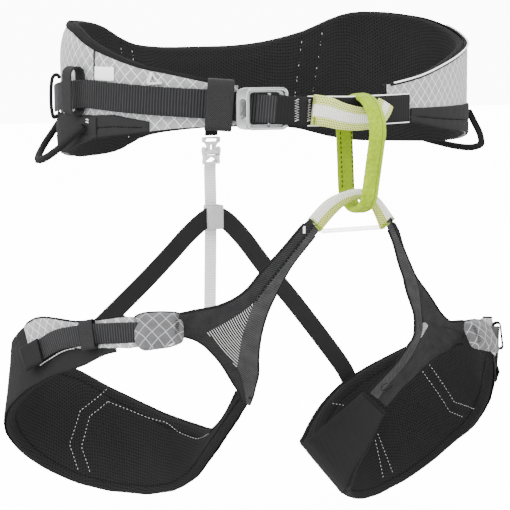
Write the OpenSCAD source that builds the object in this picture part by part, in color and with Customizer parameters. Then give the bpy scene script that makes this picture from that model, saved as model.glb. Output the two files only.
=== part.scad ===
// Sit harness for climbing: a padded waist belt, two padded leg loops, a belay loop and a drop seat.
// Origin at the centre of the waist opening, level with the belt webbing. -Y is the wearer's front.

/* [Waist belt] */
// Half of the belt's outer width
waist_half_w = 160; // [156:1:164]
// Half of the belt's outer depth
waist_half_d = 115; // [112:1:118]
// Thickness of the waist padding
waist_pad_t = 9; // [7:0.5:10]
// Width of the waist webbing
belt_w = 20; // [19:0.5:21]

/* [Leg loops] */
// Thickness of the leg padding
leg_pad_t = 8; // [6:0.5:9]
// Width of the leg webbing
leg_web_w = 15; // [13:0.5:16]
// Thickness of the front web between the leg loop and the bridge
gusset_t = 3; // [2:0.5:4]

/* [Centre] */
// Width of the belay loop's strand
belay_w = 13; // [12:0.5:14]
// Thickness of the belay loop's strand
belay_t = 5; // [4:0.5:5.5]

/* [Drop seat] */
// Width of the elastic risers
riser_w = 15; // [12:1:16]
// Width of the strap that holds the risers up
drop_w = 10; // [8:1:11]

/* [Hidden] */

black = [0.13, 0.13, 0.14];
dark_grey = [0.25, 0.25, 0.26];
light_grey = [0.78, 0.78, 0.79];
white = [0.92, 0.92, 0.9];
lime = [0.66, 0.78, 0.2];
silver = [0.75, 0.76, 0.78];

web_t = 1.6;          // thickness of load webbing
shell_t = 1.6;        // thickness of outer shell fabric
gap = 0.3;            // space between neighbouring layers
ring_step = 5;        // degrees between the sections of the waist pad
leg_step = 4;         // degrees between the sections of a leg pad

// ---- Waist belt: angles run from the front, over the wearer's right hip, to the back ----
belt_from = 29;       // angle of the pad's end at the buckle
belt_to = 349;        // angle of the pad's end at the tie-in
waist_top = [
    [29, 18], [37, 22], [48, 28], [58, 32], [66, 38], [73, 43], [81, 49], [90, 56], [105, 60], [130, 58],
    [140, 54], [150, 44], [157, 38], [168, 35], [190, 35], [200, 38], [212, 46], [220, 56], [228, 62],
    [241, 62], [259, 58], [276, 50], [287, 44], [305, 38], [315, 33], [324, 28], [335, 21], [348, 16]
];
waist_bottom = [
    [29, -10], [45, -12], [62, -17], [73, -20], [100, -32], [125, -43], [142, -44], [150, -42], [157, -34],
    [165, -31], [180, -29], [204, -29], [212, -32], [220, -38], [231, -41], [248, -40], [268, -38],
    [278, -35], [297, -27], [324, -19], [338, -12], [348, -9]
];
webbing_z = [[-20, -1], [0, -1], [11, 0], [20, 2], [38, 6], [54, 8], [76, 11], [92, 8], [106, 4]];
webbing_off = [
    [-20, 0.4], [10, 0.4], [14, 6.3], [22.6, 6.3], [25.6, 1.7], [30, 1.7], [38, 3], [106, 3]
];

// ---- Leg loops: o runs outwards from the middle of the harness, t from the front over the hip ----
leg_mid_x = 12;       // x of the plane between the two leg loops
leg_top_ring = [118, 29, 92, 76, 67];      // centre o, centre y, long and short half-axis, turn
leg_bottom_ring = [127, 6, 105, 61, 59];
left_top = [
    [-5, -143], [20, -144], [33, -147], [50, -151], [70, -150], [80, -152], [92, -160], [120, -180],
    [150, -197], [180, -214], [196, -229], [213, -240], [229, -248], [246, -252], [265, -254],
    [275, -249], [285, -240], [302, -218], [315, -209]
];
left_bottom = [
    [-5, -170], [20, -167], [39, -173], [55, -182], [82, -192], [104, -206], [122, -224], [143, -255],
    [155, -275], [166, -290], [177, -299], [192, -304], [220, -304], [245, -298], [262, -286],
    [276, -266], [290, -243], [305, -218], [315, -209]
];
right_top = [
    [-5, -166], [20, -169], [50, -176], [90, -190], [120, -205], [139, -216], [158, -232], [178, -248],
    [200, -268], [219, -282], [245, -281], [267, -271], [285, -256], [303, -236], [315, -219]
];
right_bottom = [
    [-5, -189], [20, -197], [48, -218], [70, -238], [97, -261], [128, -296], [143, -320], [154, -334], [168, -342],
    [182, -341], [199, -335], [219, -326], [245, -318], [271, -306], [291, -281], [301, -267],
    [309, -245], [315, -224]
];
leg_web_mid = [[-5, 0.5], [20, 0.52], [36, 0.62], [50, 0.68], [62, 0.62], [78, 0.46], [95, 0.4]];
left_pivot = [37, -112, -81.5];            // end of the bridge, as [o, y, z]
right_pivot = [25.5, -112, -84.5];
left_arm = [114, -70, -155];               // where the front web meets the buckle cover
right_arm = [114, -72, -182];
left_join = [57, -53, -214];               // where it meets the inner thigh pad
right_join = [58, -53, -220];

// Front web in its own plane: u towards the buckle cover, v down to the thigh pad. The two edges run
// from the bridge round to the thigh pad and are joined point to point
web_outer_left = [
    [7, -2], [15, 11], [24, 27], [30, 39], [34, 50], [39, 59], [46, 67], [55, 74],
    [66, 79], [66, 100], [57, 101], [50, 103], [43, 108], [34, 115], [25, 124], [17, 133]
];
web_inner_left = [
    [-4, 4], [2, 14], [8, 26], [11, 36], [13, 44], [15, 51], [16, 58], [17, 66],
    [17, 74], [16, 82], [14, 90], [12, 96], [10, 102], [7, 110], [3, 120], [-2, 139]
];
web_outer_right = [
    [4, -2], [7, 4], [10, 14], [14, 23], [19, 33], [26, 42], [35, 56], [44, 70],
    [54, 80], [64, 80], [62, 103], [55, 106], [45, 111], [37, 115], [30, 123], [17, 136]
];
web_inner_right = [
    [-1, 1], [1, 7], [3, 13], [6, 23], [9, 32], [11, 41], [14, 52], [17, 63],
    [18, 71], [18.5, 78], [18, 84], [15, 89], [12, 96], [7, 106], [0, 117], [-8, 128]
];
// Corners of the net window: top, at the buckle cover, at the thigh
window_left = [[27, 62], [52, 93], [20, 117]];
window_right = [[25, 70], [35, 79], [24, 92]];
web_bulge = 12;       // how far the inner arm stands forward of the web's plane
right_arm_drop = 12;  // how much lower the right web meets its cover
right_web_late = 12;  // how much longer the right web's stem is

// ---- Routes of the free straps ----
bridge_route = [
    [-24, -112, -80.5], [-11, -112, -68.5], [2, -112, -62], [14, -112, -60.5], [25, -112, -66], [36.5, -112, -83]
];
bridge_widths = [14, 13, 9, 8, 9, 14];
sleeve_route = [
    [-29, -118.6, 1], [-19, -120, -0.5], [-8, -120.8, -3.8], [4, -121, -6], [13, -121, -6.4], [20.5, -121, -6.5],
    [26.5, -120, -1.5], [30, -118.5, 4]
];
sleeve_widths = [21.5, 21, 19, 17, 15.5, 14.5, 14, 14];
left_riser_route = [
    [1, 116.5, -105], [-11, 116, -114], [-26, 114, -128], [-46, 112, -145], [-66, 112, -162],
    [-88, 115, -182], [-108, 120.5, -202], [-120, 122.5, -218]
];
right_riser_route = [
    [27.5, 116.5, -106.5], [41, 116, -121], [59, 115, -144], [86, 115, -175], [113, 117, -207],
    [137, 120.5, -236], [146, 122.5, -252]
];
drop_x = 12;
drop_y = 118;
drop_route = [[13, 122.2, -55], [13.5, 122.2, -90], [13.5, 122.2, -112], [12, 121, -186]];

// Unit vector
function unit(v) = v / norm(v);
// Value at t of a list of [t, value] knots, with its corners rounded
function soft(t, knots, w = 4) = (lookup(t - w, knots) + 2 * lookup(t, knots) + lookup(t + w, knots)) / 4;
// Point a part s of the way from b to c on a smooth curve through a, b, c and d
function between(a, b, c, d, s) =
    0.5 * (2 * b + (c - a) * s + (2 * a - 5 * b + 4 * c - d) * s * s + (3 * b - a - 3 * c + d) * s * s * s);
// Smooth open curve through a list of points, n steps to a stretch
function smooth(k, n) = [
    for (i = [0 : len(k) - 2], s = [0 : n - 1])
        between(k[max(i - 1, 0)], k[i], k[i + 1], k[min(i + 2, len(k) - 1)], s / n),
    k[len(k) - 1]
];
// Angles from a to b in about equal steps
function angles(a, b, step) = let (n = max(1, round((b - a) / step))) [for (i = [0 : n]) a + (b - a) * i / n];

// How far the belt leans in towards the wearer at height z
function lean_in(z) = 7 * pow(max(z - 36, 0) / 26, 2);
// Point on the belt at angle t, height z and distance off outside its outer face
function on_belt(t, z, off) =
    let (out = off - lean_in(z))
    [-(waist_half_w + out) * sin(t), -(waist_half_d + out) * cos(t), z];

// Radius of a leg loop's plan ellipse in direction t
function leg_radius(ring, t) =
    let (e = [sin(t), -cos(t)], a = e * [cos(ring[4]), sin(ring[4])], b = e * [-sin(ring[4]), cos(ring[4])])
    1 / sqrt(pow(a / ring[2], 2) + pow(b / ring[3], 2));
// Plan point [o, y] of a leg loop's ring in direction t
function leg_plan(ring, t, off) =
    [ring[0], ring[1]] + (leg_radius(ring, t) + off) * [sin(t), -cos(t)];
// Point on a leg loop: u runs from 0 at the lower edge to 1 at the upper edge
function on_leg(side, t, u, off) =
    let (
        low = leg_plan(leg_bottom_ring, t, off),
        high = leg_plan(leg_top_ring, t, off),
        z_low = soft(t, side < 0 ? left_bottom : right_bottom),
        z_high = soft(t, side < 0 ? left_top : right_top),
        plan = low * (1 - u) + high * u
    )
    [leg_mid_x + side * plan[0], plan[1], z_low * (1 - u) + z_high * u];
// Height of the leg loop in direction t, measured along its face
function leg_height(side, t) = norm(on_leg(side, t, 1, 0) - on_leg(side, t, 0, 0));
// From the leg loops' own [o, y, z] to the harness frame
function from_leg(side, p) = [leg_mid_x + side * p[0], p[1], p[2]];

// Rectangle with cut corners, as [off, height] pairs
function pad_section(off_in, off_out, low, high, r) = [
    [off_out, low + r], [off_out, high - r], [off_out - r, high], [off_in + r, high],
    [off_in, high - r], [off_in, low + r], [off_in + r, low], [off_out - r, low]
];
function flat_section(off_in, off_out, low, high) =
    [[off_out, low], [off_out, high], [off_in, high], [off_in, low]];
function turned_section(off_in, off_out, low, high) =
    [[off_out, high], [off_out, low], [off_in, low], [off_in, high]];
// Closed sleeve cut open at its inner side, for a band wrapped round a strap
function hook_section(off_in, off_out, low, high, t) = [
    [off_out, low], [off_out, high], [off_in, high], [off_in, high - t],
    [off_out - t, high - t], [off_out - t, low + t], [off_in, low + t], [off_in, low]
];

// Sign of the volume between the first two rings, which says which way the faces must turn
function ring_sense(rings) =
    let (
        a = rings[0], m = len(a),
        ahead = rings[1][0] + rings[1][floor(m / 2)] - a[0] - a[floor(m / 2)],
        area = [for (j = [0 : m - 1]) cross(a[j] - a[0], a[(j + 1) % m] - a[0])],
        turn = [for (k = [0 : 2]) [for (v = area) v[k]] * [for (v = area) 1]]
    )
    turn * ahead;

// Solid skin through a list of rings that all have the same number of points
module loft(rings) {
    n = len(rings);
    m = len(rings[0]);
    keep = ring_sense(rings) < 0;
    sides = [
        for (i = [0 : n - 2], j = [0 : m - 1])
            let (a = i * m + j, b = i * m + (j + 1) % m)
            each [[a, b + m, b], [a, a + m, b + m]]
    ];
    caps = [[for (j = [0 : m - 1]) j], [for (j = [m - 1 : -1 : 0]) (n - 1) * m + j]];
    faces = concat(sides, caps);
    turned = [for (f = faces) [for (j = [len(f) - 1 : -1 : 0]) f[j]]];
    polyhedron([for (r = rings) each r], keep ? turned : faces, convexity = 6);
}

// Flat strap along a smooth route, its face looking the way of facing; width is one number or a list
module strap(route, facing, width, thick) {
    n = len(route);
    loft([
        for (i = [0 : n - 1])
            let (
                along = unit(route[min(i + 1, n - 1)] - route[max(i - 1, 0)]),
                across = unit(cross(along, facing)) * (is_list(width) ? width[i] : width) / 2,
                out = unit(cross(across, along)) * thick / 2,
                p = route[i]
            )
            [p + across + out, p - across + out, p - across - out, p + across - out]
    ]);
}

// Round bar along a route
module tube(route, r, sides, reference) {
    n = len(route);
    loft([
        for (i = [0 : n - 1])
            let (
                along = unit(route[min(i + 1, n - 1)] - route[max(i - 1, 0)]),
                across = unit(cross(along, reference)),
                out = cross(across, along)
            )
            [for (j = [0 : sides - 1]) route[i] + r * (cos(360 * j / sides) * across + sin(360 * j / sides) * out)]
    ]);
}

// Band on the waist belt: section(t) gives its [off, z] outline at angle t
module belt_band(from, to, step, section)
    loft([for (t = angles(from, to, step)) [for (q = section(t)) on_belt(t, q[1], q[0])]]);

// Band on a leg loop: section(t, h) gives its [off, height] outline at angle t, where the loop is h high
module leg_band(side, from, to, step, section)
    loft([
        for (t = angles(from, to, step))
            let (h = leg_height(side, t))
            [for (q = section(t, h)) on_leg(side, t, q[1] / h, q[0])]
    ]);

// Children stand on the belt's face with x along the strap and -y outwards
module at_belt(t, z, off) {
    along = unit(on_belt(t - 1, 0, off) - on_belt(t + 1, 0, off));
    translate(on_belt(t, z, off)) rotate([0, 0, atan2(along[1], along[0])]) children();
}

// Children stand on the leg loop's face with x along the strap and -y outwards
module at_leg(side, t, u, off) {
    p = on_leg(side, t, u, off);
    along = side * unit(on_leg(side, t + 2, u, off) - on_leg(side, t - 2, u, off));
    lean = on_leg(side, t, u + 0.1, off) - on_leg(side, t, u - 0.1, off);
    up = unit(lean - (lean * along) * along);
    back = cross(up, along);
    multmatrix([for (k = [0 : 2]) [along[k], back[k], up[k], p[k]]]) children();
}

// Ring with straight sides and round ends, standing up along y with a square hole through it
module oval_ring(w, h, r, wall)
    difference() {
        rounded(w, h, r);
        rounded(w - 2 * wall, h - 2 * wall, max(r - wall, 0.4));
    }

module rounded(w, h, r) {
    square([w - 2 * r, h], center = true);
    square([w, h - 2 * r], center = true);
    for (x = [-1, 1], y = [-1, 1]) translate([x * (w / 2 - r), y * (h / 2 - r)]) circle(r, $fn = 32);
}

// ---- Waist belt ----
function pad_inner(t) = -shell_t - gap - waist_pad_t * lookup(t, [[29, 0.5], [60, 1], [315, 1], [348, 0.5]]);

// Points at the heights where the belt's curve is followed, low to high
function belt_levels(t, off) = [
    for (k = [0.5, 0.7, 0.81, 0.885]) [off, soft(t, waist_bottom) * (1 - k) + soft(t, waist_top) * k]
];

module waist_pad_liner()
    color(black)
    belt_band(belt_from, belt_to, ring_step, function(t)
        let (s = pad_section(pad_inner(t), -shell_t - 1.6 * gap, soft(t, waist_bottom), soft(t, waist_top) - 1, 1.8))
        [s[0], each belt_levels(t, -shell_t - 1.6 * gap), each [for (i = [1 : len(s) - 1]) s[i]]]);

module waist_shell()
    color(light_grey)
    belt_band(belt_from, belt_to, ring_step, function(t)
        let (s = flat_section(-shell_t, 0, soft(t, waist_bottom) + 1, soft(t, waist_top)), up = belt_levels(t, -shell_t))
        [s[0], each belt_levels(t, 0), s[1], s[2], up[3], up[2], up[1], up[0], s[3]]);

module waist_lower_panel()
    color(dark_grey)
    belt_band(54, 339, ring_step, function(t)
        let (high = lookup(t, [[54, -7], [66, -3], [110, -8], [250, -8], [295, -4], [345, -1]]))
        flat_section(gap, gap + 1, soft(t, waist_bottom) + 1, high));

module waist_edge_piping()
    color(white)
    tube([for (t = angles(270, 345, 7)) on_belt(t, soft(t, waist_top) + 0.2, gap + 0.8)], 0.7, 6, [0, 0, 1]);

module front_webbing()
    color(dark_grey)
    belt_band(-20, 106, 2.5, function(t)
        let (
            off = soft(t, webbing_off, 1),
            z = soft(t, webbing_z, 2),
            pressed = lookup(t, [[-14, 0], [-10, 5], [1, 5], [6, 0]])
        )
        flat_section(off, off + web_t, z - belt_w / 2, z + belt_w / 2 - pressed));

module elastic_keeper()
    color(dark_grey)
    belt_band(30.4, 37.6, 4, function(t)
        hook_section(-8, 6.3, soft(t, waist_bottom) - 2, soft(t, waist_top) + 2, 1.3));

module rear_keeper()
    color(dark_grey)
    at_belt(81.5, 12.5, 6.4) rotate([90, 0, 90]) linear_extrude(10, center = true) oval_ring(12, 33, 4, 1.4);

side_loop_t = 99;
side_loop_knots = [
    [3.9, -12.8], [6.4, -14.6], [7.9, -9], [8.3, 0], [7.9, 9], [6.6, 14.6], [3.6, 16], [1.7, 13.5]
];
module side_loop()
    color(black)
    at_belt(side_loop_t, 6, 0)
    tube(smooth([for (q = side_loop_knots) [0, -q[0], q[1]]], 2), 1.2, 8, [1, 0, 0]);

module size_label()
    color(white)
    belt_band(66, 74, 4, function(t) flat_section(gap, gap + 0.8, 22.5, 30));

module folded_ribbon()
    color(white)
    belt_band(50, 54, 2, function(t) flat_section(gap, gap + 1.2, 19.5, 27));

// Dark reinforcement that a gear loop comes out of; side is -1 on the wearer's right
module hip_patch(side)
    color(dark_grey)
    belt_band(side < 0 ? 73 : 249, side < 0 ? 111 : 287, 6, function(t)
        let (along = (side < 0 ? t - 73 : 287 - t) / 38)
        flat_section(gap + 1 + gap, gap + 1.6 + gap, lookup(along, [[0, -19], [0.5, -31], [1, -31]]), -5.5));
module left_hip_patch() hip_patch(-1);
module right_hip_patch() hip_patch(1);

// Gear loop: a stiff bar that leaves the belt, hangs in an arc and comes back to it
gear_knots_left = [
    [77, -12, 5], [80, -18, 8], [86, -29, 14], [94, -37, 17], [104, -39, 17], [114, -32, 14], [121, -19, 8],
    [124, -12, 5]
];
gear_knots_right = [
    [77, -12, 5], [78, -20, 10], [81, -31, 18], [86, -40, 24], [94, -44, 25], [104, -42, 21], [114, -35, 15],
    [121, -20, 8], [124, -12, 5]
];
gear_bar_r = 2.6;
function gear_point(side, k) = let (p = on_belt(k[0], k[1], k[2])) [-side * p[0], p[1], p[2]];
module gear_loop(side)
    color(black)
    tube(smooth([for (k = side < 0 ? gear_knots_left : gear_knots_right) gear_point(side, k)], 3),
        gear_bar_r, 8, [0, 0, 1] + 0.5 * [side, 0, 0]);
module left_gear_loop() gear_loop(-1);
module right_gear_loop() gear_loop(1);

// ---- Waist buckle: a frame and a bar that slides in it and grips the webbing ----
buckle_t = 23.4;      // angle of the buckle's middle
buckle_w = 34;
buckle_h = 29;
buckle_bar = 9.5;     // width of the grip bar
buckle_deep = 2.6;
buckle_off = 2.6;     // distance from the belt's face to the back of the frame
buckle_window_h = 22.4;
module waist_buckle_frame()
    color(silver)
    at_belt(buckle_t, 2.5, buckle_off) translate([0, -buckle_deep / 2, 0]) rotate([90, 0, 0])
    difference() {
        union() {
            linear_extrude(buckle_deep, center = true) rounded(buckle_w, buckle_h, 7);
            // raised grip bar over the webbing
            translate([-buckle_w / 2 + buckle_bar / 2, 0, 0.9])
                linear_extrude(buckle_deep, center = true) rounded(buckle_bar, buckle_h - 1, 4);
        }
        translate([(buckle_bar - 3) / 2, 0, 0])
            cube([buckle_w - buckle_bar - 3, buckle_window_h, 3 * buckle_deep], center = true);
        // passage for the webbing behind the grip bar
        translate([-buckle_w / 2, 0, -buckle_deep / 2])
            cube([3 * buckle_bar, buckle_window_h, 2.2], center = true);
        // thumb recess
        translate([-buckle_w / 2 + buckle_bar / 2, 0, 2.9]) linear_extrude(2, center = true) rounded(4, 13, 1.9);
    }

slider_w = 4;
slider_play = 0.35;
module waist_buckle_slider()
    color(silver)
    at_belt(buckle_t, 2.5, buckle_off) translate([6, -buckle_deep / 2, 0])
    cube([slider_w, buckle_deep - 0.2, buckle_window_h - 2 * slider_play], center = true);

// ---- Centre: tie-in sleeve, belay loop and bridge ----
module tie_in_sleeve()
    color(lime)
    strap(smooth(sleeve_route, 4), [0, -1, 0], smooth(sleeve_widths, 4), 3);

belay_x = 13;
belay_y = -113;
belay_r = 20;         // inside half-width at the top
belay_top = 6;        // inside top
belay_bottom = -68.8; // inside bottom
belay_foot_r = 14;    // inside half-width at the bottom
belay_foot_back = 3;  // how much further back the bottom lies
module belay_outline(grow)
    hull() {
        translate([0, belay_top - belay_r]) circle(belay_r + grow, $fn = 32);
        translate([belay_foot_back, belay_bottom + belay_foot_r]) circle(belay_foot_r + grow, $fn = 32);
    }
module belay_loop()
    color(lime)
    translate([belay_x, belay_y, 0]) rotate([90, 0, 90])
    linear_extrude(belay_w, center = true) difference() {
        belay_outline(belay_t);
        belay_outline(0);
    }

module bridge_sleeve()
    color(lime)
    strap(smooth(bridge_route, 4), [0, -1, 0], smooth(bridge_widths, 4), 3.5);

module bridge_band()
    color(white)
    translate([-16, -109.5, -87]) cube([52, 1, 3.5]);

// ---- Drop seat: tab, side-release buckle, strap, keeper and two elastic risers ----
tab_top = -16;
buckle_top = -37;     // top of the socket half
socket_h = 14;
socket_w = 14.5;
socket_deep = 6;
module drop_tab()
    color(black)
    translate([drop_x - 6, 116.9, buckle_top + 1.4]) cube([12, 1.2, tab_top - buckle_top]);

module drop_buckle_female()
    color(light_grey)
    translate([drop_x, drop_y, buckle_top - socket_h / 2]) difference() {
        rotate([90, 0, 0]) linear_extrude(socket_deep, center = true) rounded(socket_w, socket_h, 2);
        // slot for the tab
        translate([0, 0, socket_h / 2 - 3]) cube([12.4, 2 * socket_deep, 3], center = true);
        // socket for the prongs
        translate([0, 0, -3]) cube([11, 3, 10], center = true);
        // open sides for the prong heads
        translate([0, 0, -3]) cube([20, 3, 9], center = true);
    }

prong_gap = 0.4;
module drop_buckle_male()
    color(light_grey)
    translate([drop_x, drop_y, buckle_top - socket_h]) {
        difference() {
            translate([0, 0, -4]) rotate([90, 0, 0]) linear_extrude(5, center = true) rounded(14, 7, 1.6);
            translate([0, 0, -5]) cube([10.6, 12, 2], center = true);
        }
        // tongue and two prongs
        translate([0, 0, 2]) cube([2, 2.2, 9], center = true);
        for (s = [-1, 1]) {
            translate([s * 4, 0, 2]) cube([1.6, 2.2, 9], center = true);
            translate([s * 5.4, 0, 5.4]) cube([3.4, 2.2, 2.6], center = true);
        }
    }

module drop_strap()
    color(light_grey)
    strap(drop_route, [0, 1, 0], drop_w, 1.2);

module riser_keeper()
    color(light_grey)
    translate([drop_x + 2, drop_y + 1.2, -101.5]) linear_extrude(19, center = true) oval_ring(14.6, 12, 3, 1.2);

module left_riser()
    color(dark_grey)
    strap(smooth(left_riser_route, 2), [0, 1, 0], riser_w, 1.4);
module right_riser()
    color(dark_grey)
    strap(smooth(right_riser_route, 2), [0, 1, 0], riser_w, 1.4);

// ---- Leg loops ----
leg_from = 29;
leg_to = 313;
leg_web_off = 3.4;    // distance of the leg webbing outside the leg loop's face
module leg_pad(side)
    color(black)
    leg_band(side, leg_from, leg_to, leg_step, function(t, h)
        let (thin = lookup(t, [[30, 0.5], [60, 1], [280, 1], [313, 0.4]]))
        pad_section(-shell_t - gap - leg_pad_t * thin, -shell_t - gap, 0, h - 1, 1.2));

module leg_shell(side)
    color(dark_grey)
    leg_band(side, leg_from, leg_to, leg_step, function(t, h) turned_section(-shell_t, 0, 0.5, h));

module leg_panel(side)
    color(light_grey)
    leg_band(side, 21, 93, leg_step, function(t, h)
        flat_section(gap, gap + 0.9, h * lookup(t, [[21, 0.02], [36, 0.2], [60, 0.45], [92, 0.5]]), h - 0.5));

module leg_webbing(side)
    color(dark_grey)
    leg_band(side, 1, 86, 5, function(t, h)
        let (mid = h * soft(t, leg_web_mid))
        flat_section(leg_web_off, leg_web_off + web_t, mid - leg_web_w / 2, mid + leg_web_w / 2));

keeper_t = 44;
module leg_keeper(side)
    color(dark_grey)
    at_leg(side, keeper_t, soft(keeper_t, leg_web_mid), 4.3) rotate([90, 0, 90])
    linear_extrude(11, center = true) oval_ring(5.4, leg_web_w + 5.4, 2, 1.1);

module leg_end_loop(side)
    color(dark_grey)
    leg_band(side, 78, 91, 5, function(t, h)
        let (mid = h * soft(t, leg_web_mid) - 1, half = leg_web_w / 2 + 1.5)
        flat_section(leg_web_off + web_t + gap, 9.6, mid - half, mid + half));

leg_frame_t = 9;
leg_frame_off = 5.6;
module leg_buckle_frame(side)
    color(silver)
    at_leg(side, leg_frame_t, soft(leg_frame_t, leg_web_mid), leg_frame_off)
    translate([0, -1.1, 0]) rotate([90, 0, 0]) linear_extrude(2.2, center = true) difference() {
        rounded(24, 20, 4);
        square([17, leg_web_w + 0.6], center = true);
    }

module leg_buckle_slider(side)
    color(silver)
    at_leg(side, leg_frame_t, soft(leg_frame_t, leg_web_mid), leg_frame_off)
    translate([-1.5, -1.1, 0]) cube([3.5, 2, leg_web_w - 0.2], center = true);

module leg_buckle_cover(side)
    color(light_grey)
    at_leg(side, leg_frame_t, 0.5, 6) rotate([90, 0, 90]) linear_extrude(33, center = true) oval_ring(12.4, 27, 3.5, 1.2);

// Point on the front web: u and v in its plane, lift above its face
function web_point(side, u, v, lift) =
    let (
        pivot = side < 0 ? left_pivot : right_pivot,
        down = unit((side < 0 ? left_join : right_join) - pivot),
        flat = (side < 0 ? left_arm : right_arm) - pivot,
        across = unit(flat - (flat * down) * down),
        drop = (side < 0 ? 0 : right_arm_drop) * pow(max(u, 0) / 66, 2),
        late = (side < 0 ? 0 : right_web_late) * min(1, max(v, 0) / 40),
        bulge = web_bulge * sin(180 * min(max(v / 135, 0), 1)) * min(1, max(0, 1 - (u - 16) / 40))
    )
    from_leg(side, pivot + u * across + (v + drop + late) * down + (bulge + lift) * cross(down, across));

// Strip of the front web between two edges given as [u, v] points
module web_strip(side, left_edge, right_edge, thick)
    loft([
        for (i = [0 : len(left_edge) - 1])
            let (a = left_edge[i], b = right_edge[i])
            [
                web_point(side, a[0], a[1], thick / 2), web_point(side, b[0], b[1], thick / 2),
                web_point(side, b[0], b[1], -thick / 2), web_point(side, a[0], a[1], -thick / 2)
            ]
    ]);

function part_way(a, b, s) = a + (b - a) * s;

module leg_gusset(side)
    color(dark_grey) difference() {
        if (side < 0)
            web_strip(side, web_outer_left, web_inner_left, gusset_t);
        else
            web_strip(side, web_outer_right, web_inner_right, gusset_t);
        loft([
            for (lift = [3 * gusset_t, -3 * gusset_t])
                [for (p = side < 0 ? window_left : window_right) web_point(side, p[0], p[1], lift)]
        ]);
    }

// Point a part k of the way from the window's top to corner n, drawn in a little from its edge
function window_point(w, n, k) = part_way((w[0] + w[1] + w[2]) / 3, part_way(w[0], w[n], k), 0.97);
module leg_mesh(side) {
    w = side < 0 ? window_left : window_right;
    color(light_grey)
    web_strip(side,
        [for (k = [0.03, 0.5, 1]) window_point(w, 1, k)],
        [for (k = [0.03, 0.5, 1]) window_point(w, 2, k)], 0.8);
}

module left_leg_pad() leg_pad(-1);
module left_leg_shell() leg_shell(-1);
module left_leg_panel() leg_panel(-1);
module left_leg_webbing() leg_webbing(-1);
module left_leg_keeper() leg_keeper(-1);
module left_leg_end_loop() leg_end_loop(-1);
module left_leg_buckle_frame() leg_buckle_frame(-1);
module left_leg_buckle_slider() leg_buckle_slider(-1);
module left_leg_buckle_cover() leg_buckle_cover(-1);
module left_leg_gusset() leg_gusset(-1);
module left_leg_mesh() leg_mesh(-1);
module right_leg_pad() leg_pad(1);
module right_leg_shell() leg_shell(1);
module right_leg_panel() leg_panel(1);
module right_leg_webbing() leg_webbing(1);
module right_leg_keeper() leg_keeper(1);
module right_leg_end_loop() leg_end_loop(1);
module right_leg_buckle_frame() leg_buckle_frame(1);
module right_leg_buckle_slider() leg_buckle_slider(1);
module right_leg_buckle_cover() leg_buckle_cover(1);
module right_leg_gusset() leg_gusset(1);
module right_leg_mesh() leg_mesh(1);

waist_pad_liner();
waist_shell();
waist_lower_panel();
waist_edge_piping();
front_webbing();
elastic_keeper();
rear_keeper();
side_loop();
size_label();
folded_ribbon();
left_hip_patch();
right_hip_patch();
left_gear_loop();
right_gear_loop();
waist_buckle_frame();
waist_buckle_slider();
tie_in_sleeve();
belay_loop();
bridge_sleeve();
bridge_band();
drop_tab();
drop_buckle_female();
drop_buckle_male();
drop_strap();
riser_keeper();
left_riser();
right_riser();
left_leg_pad();
left_leg_shell();
left_leg_panel();
left_leg_webbing();
left_leg_keeper();
left_leg_end_loop();
left_leg_buckle_frame();
left_leg_buckle_slider();
left_leg_buckle_cover();
left_leg_gusset();
left_leg_mesh();
right_leg_pad();
right_leg_shell();
right_leg_panel();
right_leg_webbing();
right_leg_keeper();
right_leg_end_loop();
right_leg_buckle_frame();
right_leg_buckle_slider();
right_leg_buckle_cover();
right_leg_gusset();
right_leg_mesh();
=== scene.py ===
"""Looks of the sit harness: soft goods, hardware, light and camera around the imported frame."""
import math
import random

import bmesh
import bpy
import numpy as np
from mathutils import Matrix, Vector


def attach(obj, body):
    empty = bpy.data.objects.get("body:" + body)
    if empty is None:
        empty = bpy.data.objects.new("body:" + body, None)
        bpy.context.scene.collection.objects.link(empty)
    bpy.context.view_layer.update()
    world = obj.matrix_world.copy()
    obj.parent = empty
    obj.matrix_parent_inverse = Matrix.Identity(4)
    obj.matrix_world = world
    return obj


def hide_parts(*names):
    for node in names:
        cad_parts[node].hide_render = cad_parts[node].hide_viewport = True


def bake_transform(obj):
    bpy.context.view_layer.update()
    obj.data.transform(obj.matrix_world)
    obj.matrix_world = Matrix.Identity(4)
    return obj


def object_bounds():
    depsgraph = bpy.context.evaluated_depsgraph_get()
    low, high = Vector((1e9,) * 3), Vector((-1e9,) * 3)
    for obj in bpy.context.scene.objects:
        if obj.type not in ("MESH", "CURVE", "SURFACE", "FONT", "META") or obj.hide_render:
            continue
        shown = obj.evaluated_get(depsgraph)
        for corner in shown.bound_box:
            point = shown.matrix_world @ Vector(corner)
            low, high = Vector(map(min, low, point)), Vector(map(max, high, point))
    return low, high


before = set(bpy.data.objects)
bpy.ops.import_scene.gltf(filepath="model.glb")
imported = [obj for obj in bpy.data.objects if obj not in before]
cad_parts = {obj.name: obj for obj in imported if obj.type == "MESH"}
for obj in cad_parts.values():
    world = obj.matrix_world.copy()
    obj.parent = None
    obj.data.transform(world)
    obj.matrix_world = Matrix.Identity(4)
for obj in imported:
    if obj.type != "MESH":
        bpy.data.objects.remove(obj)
cad_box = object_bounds()
MM = 0.001
chance = random.Random(11)

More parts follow.
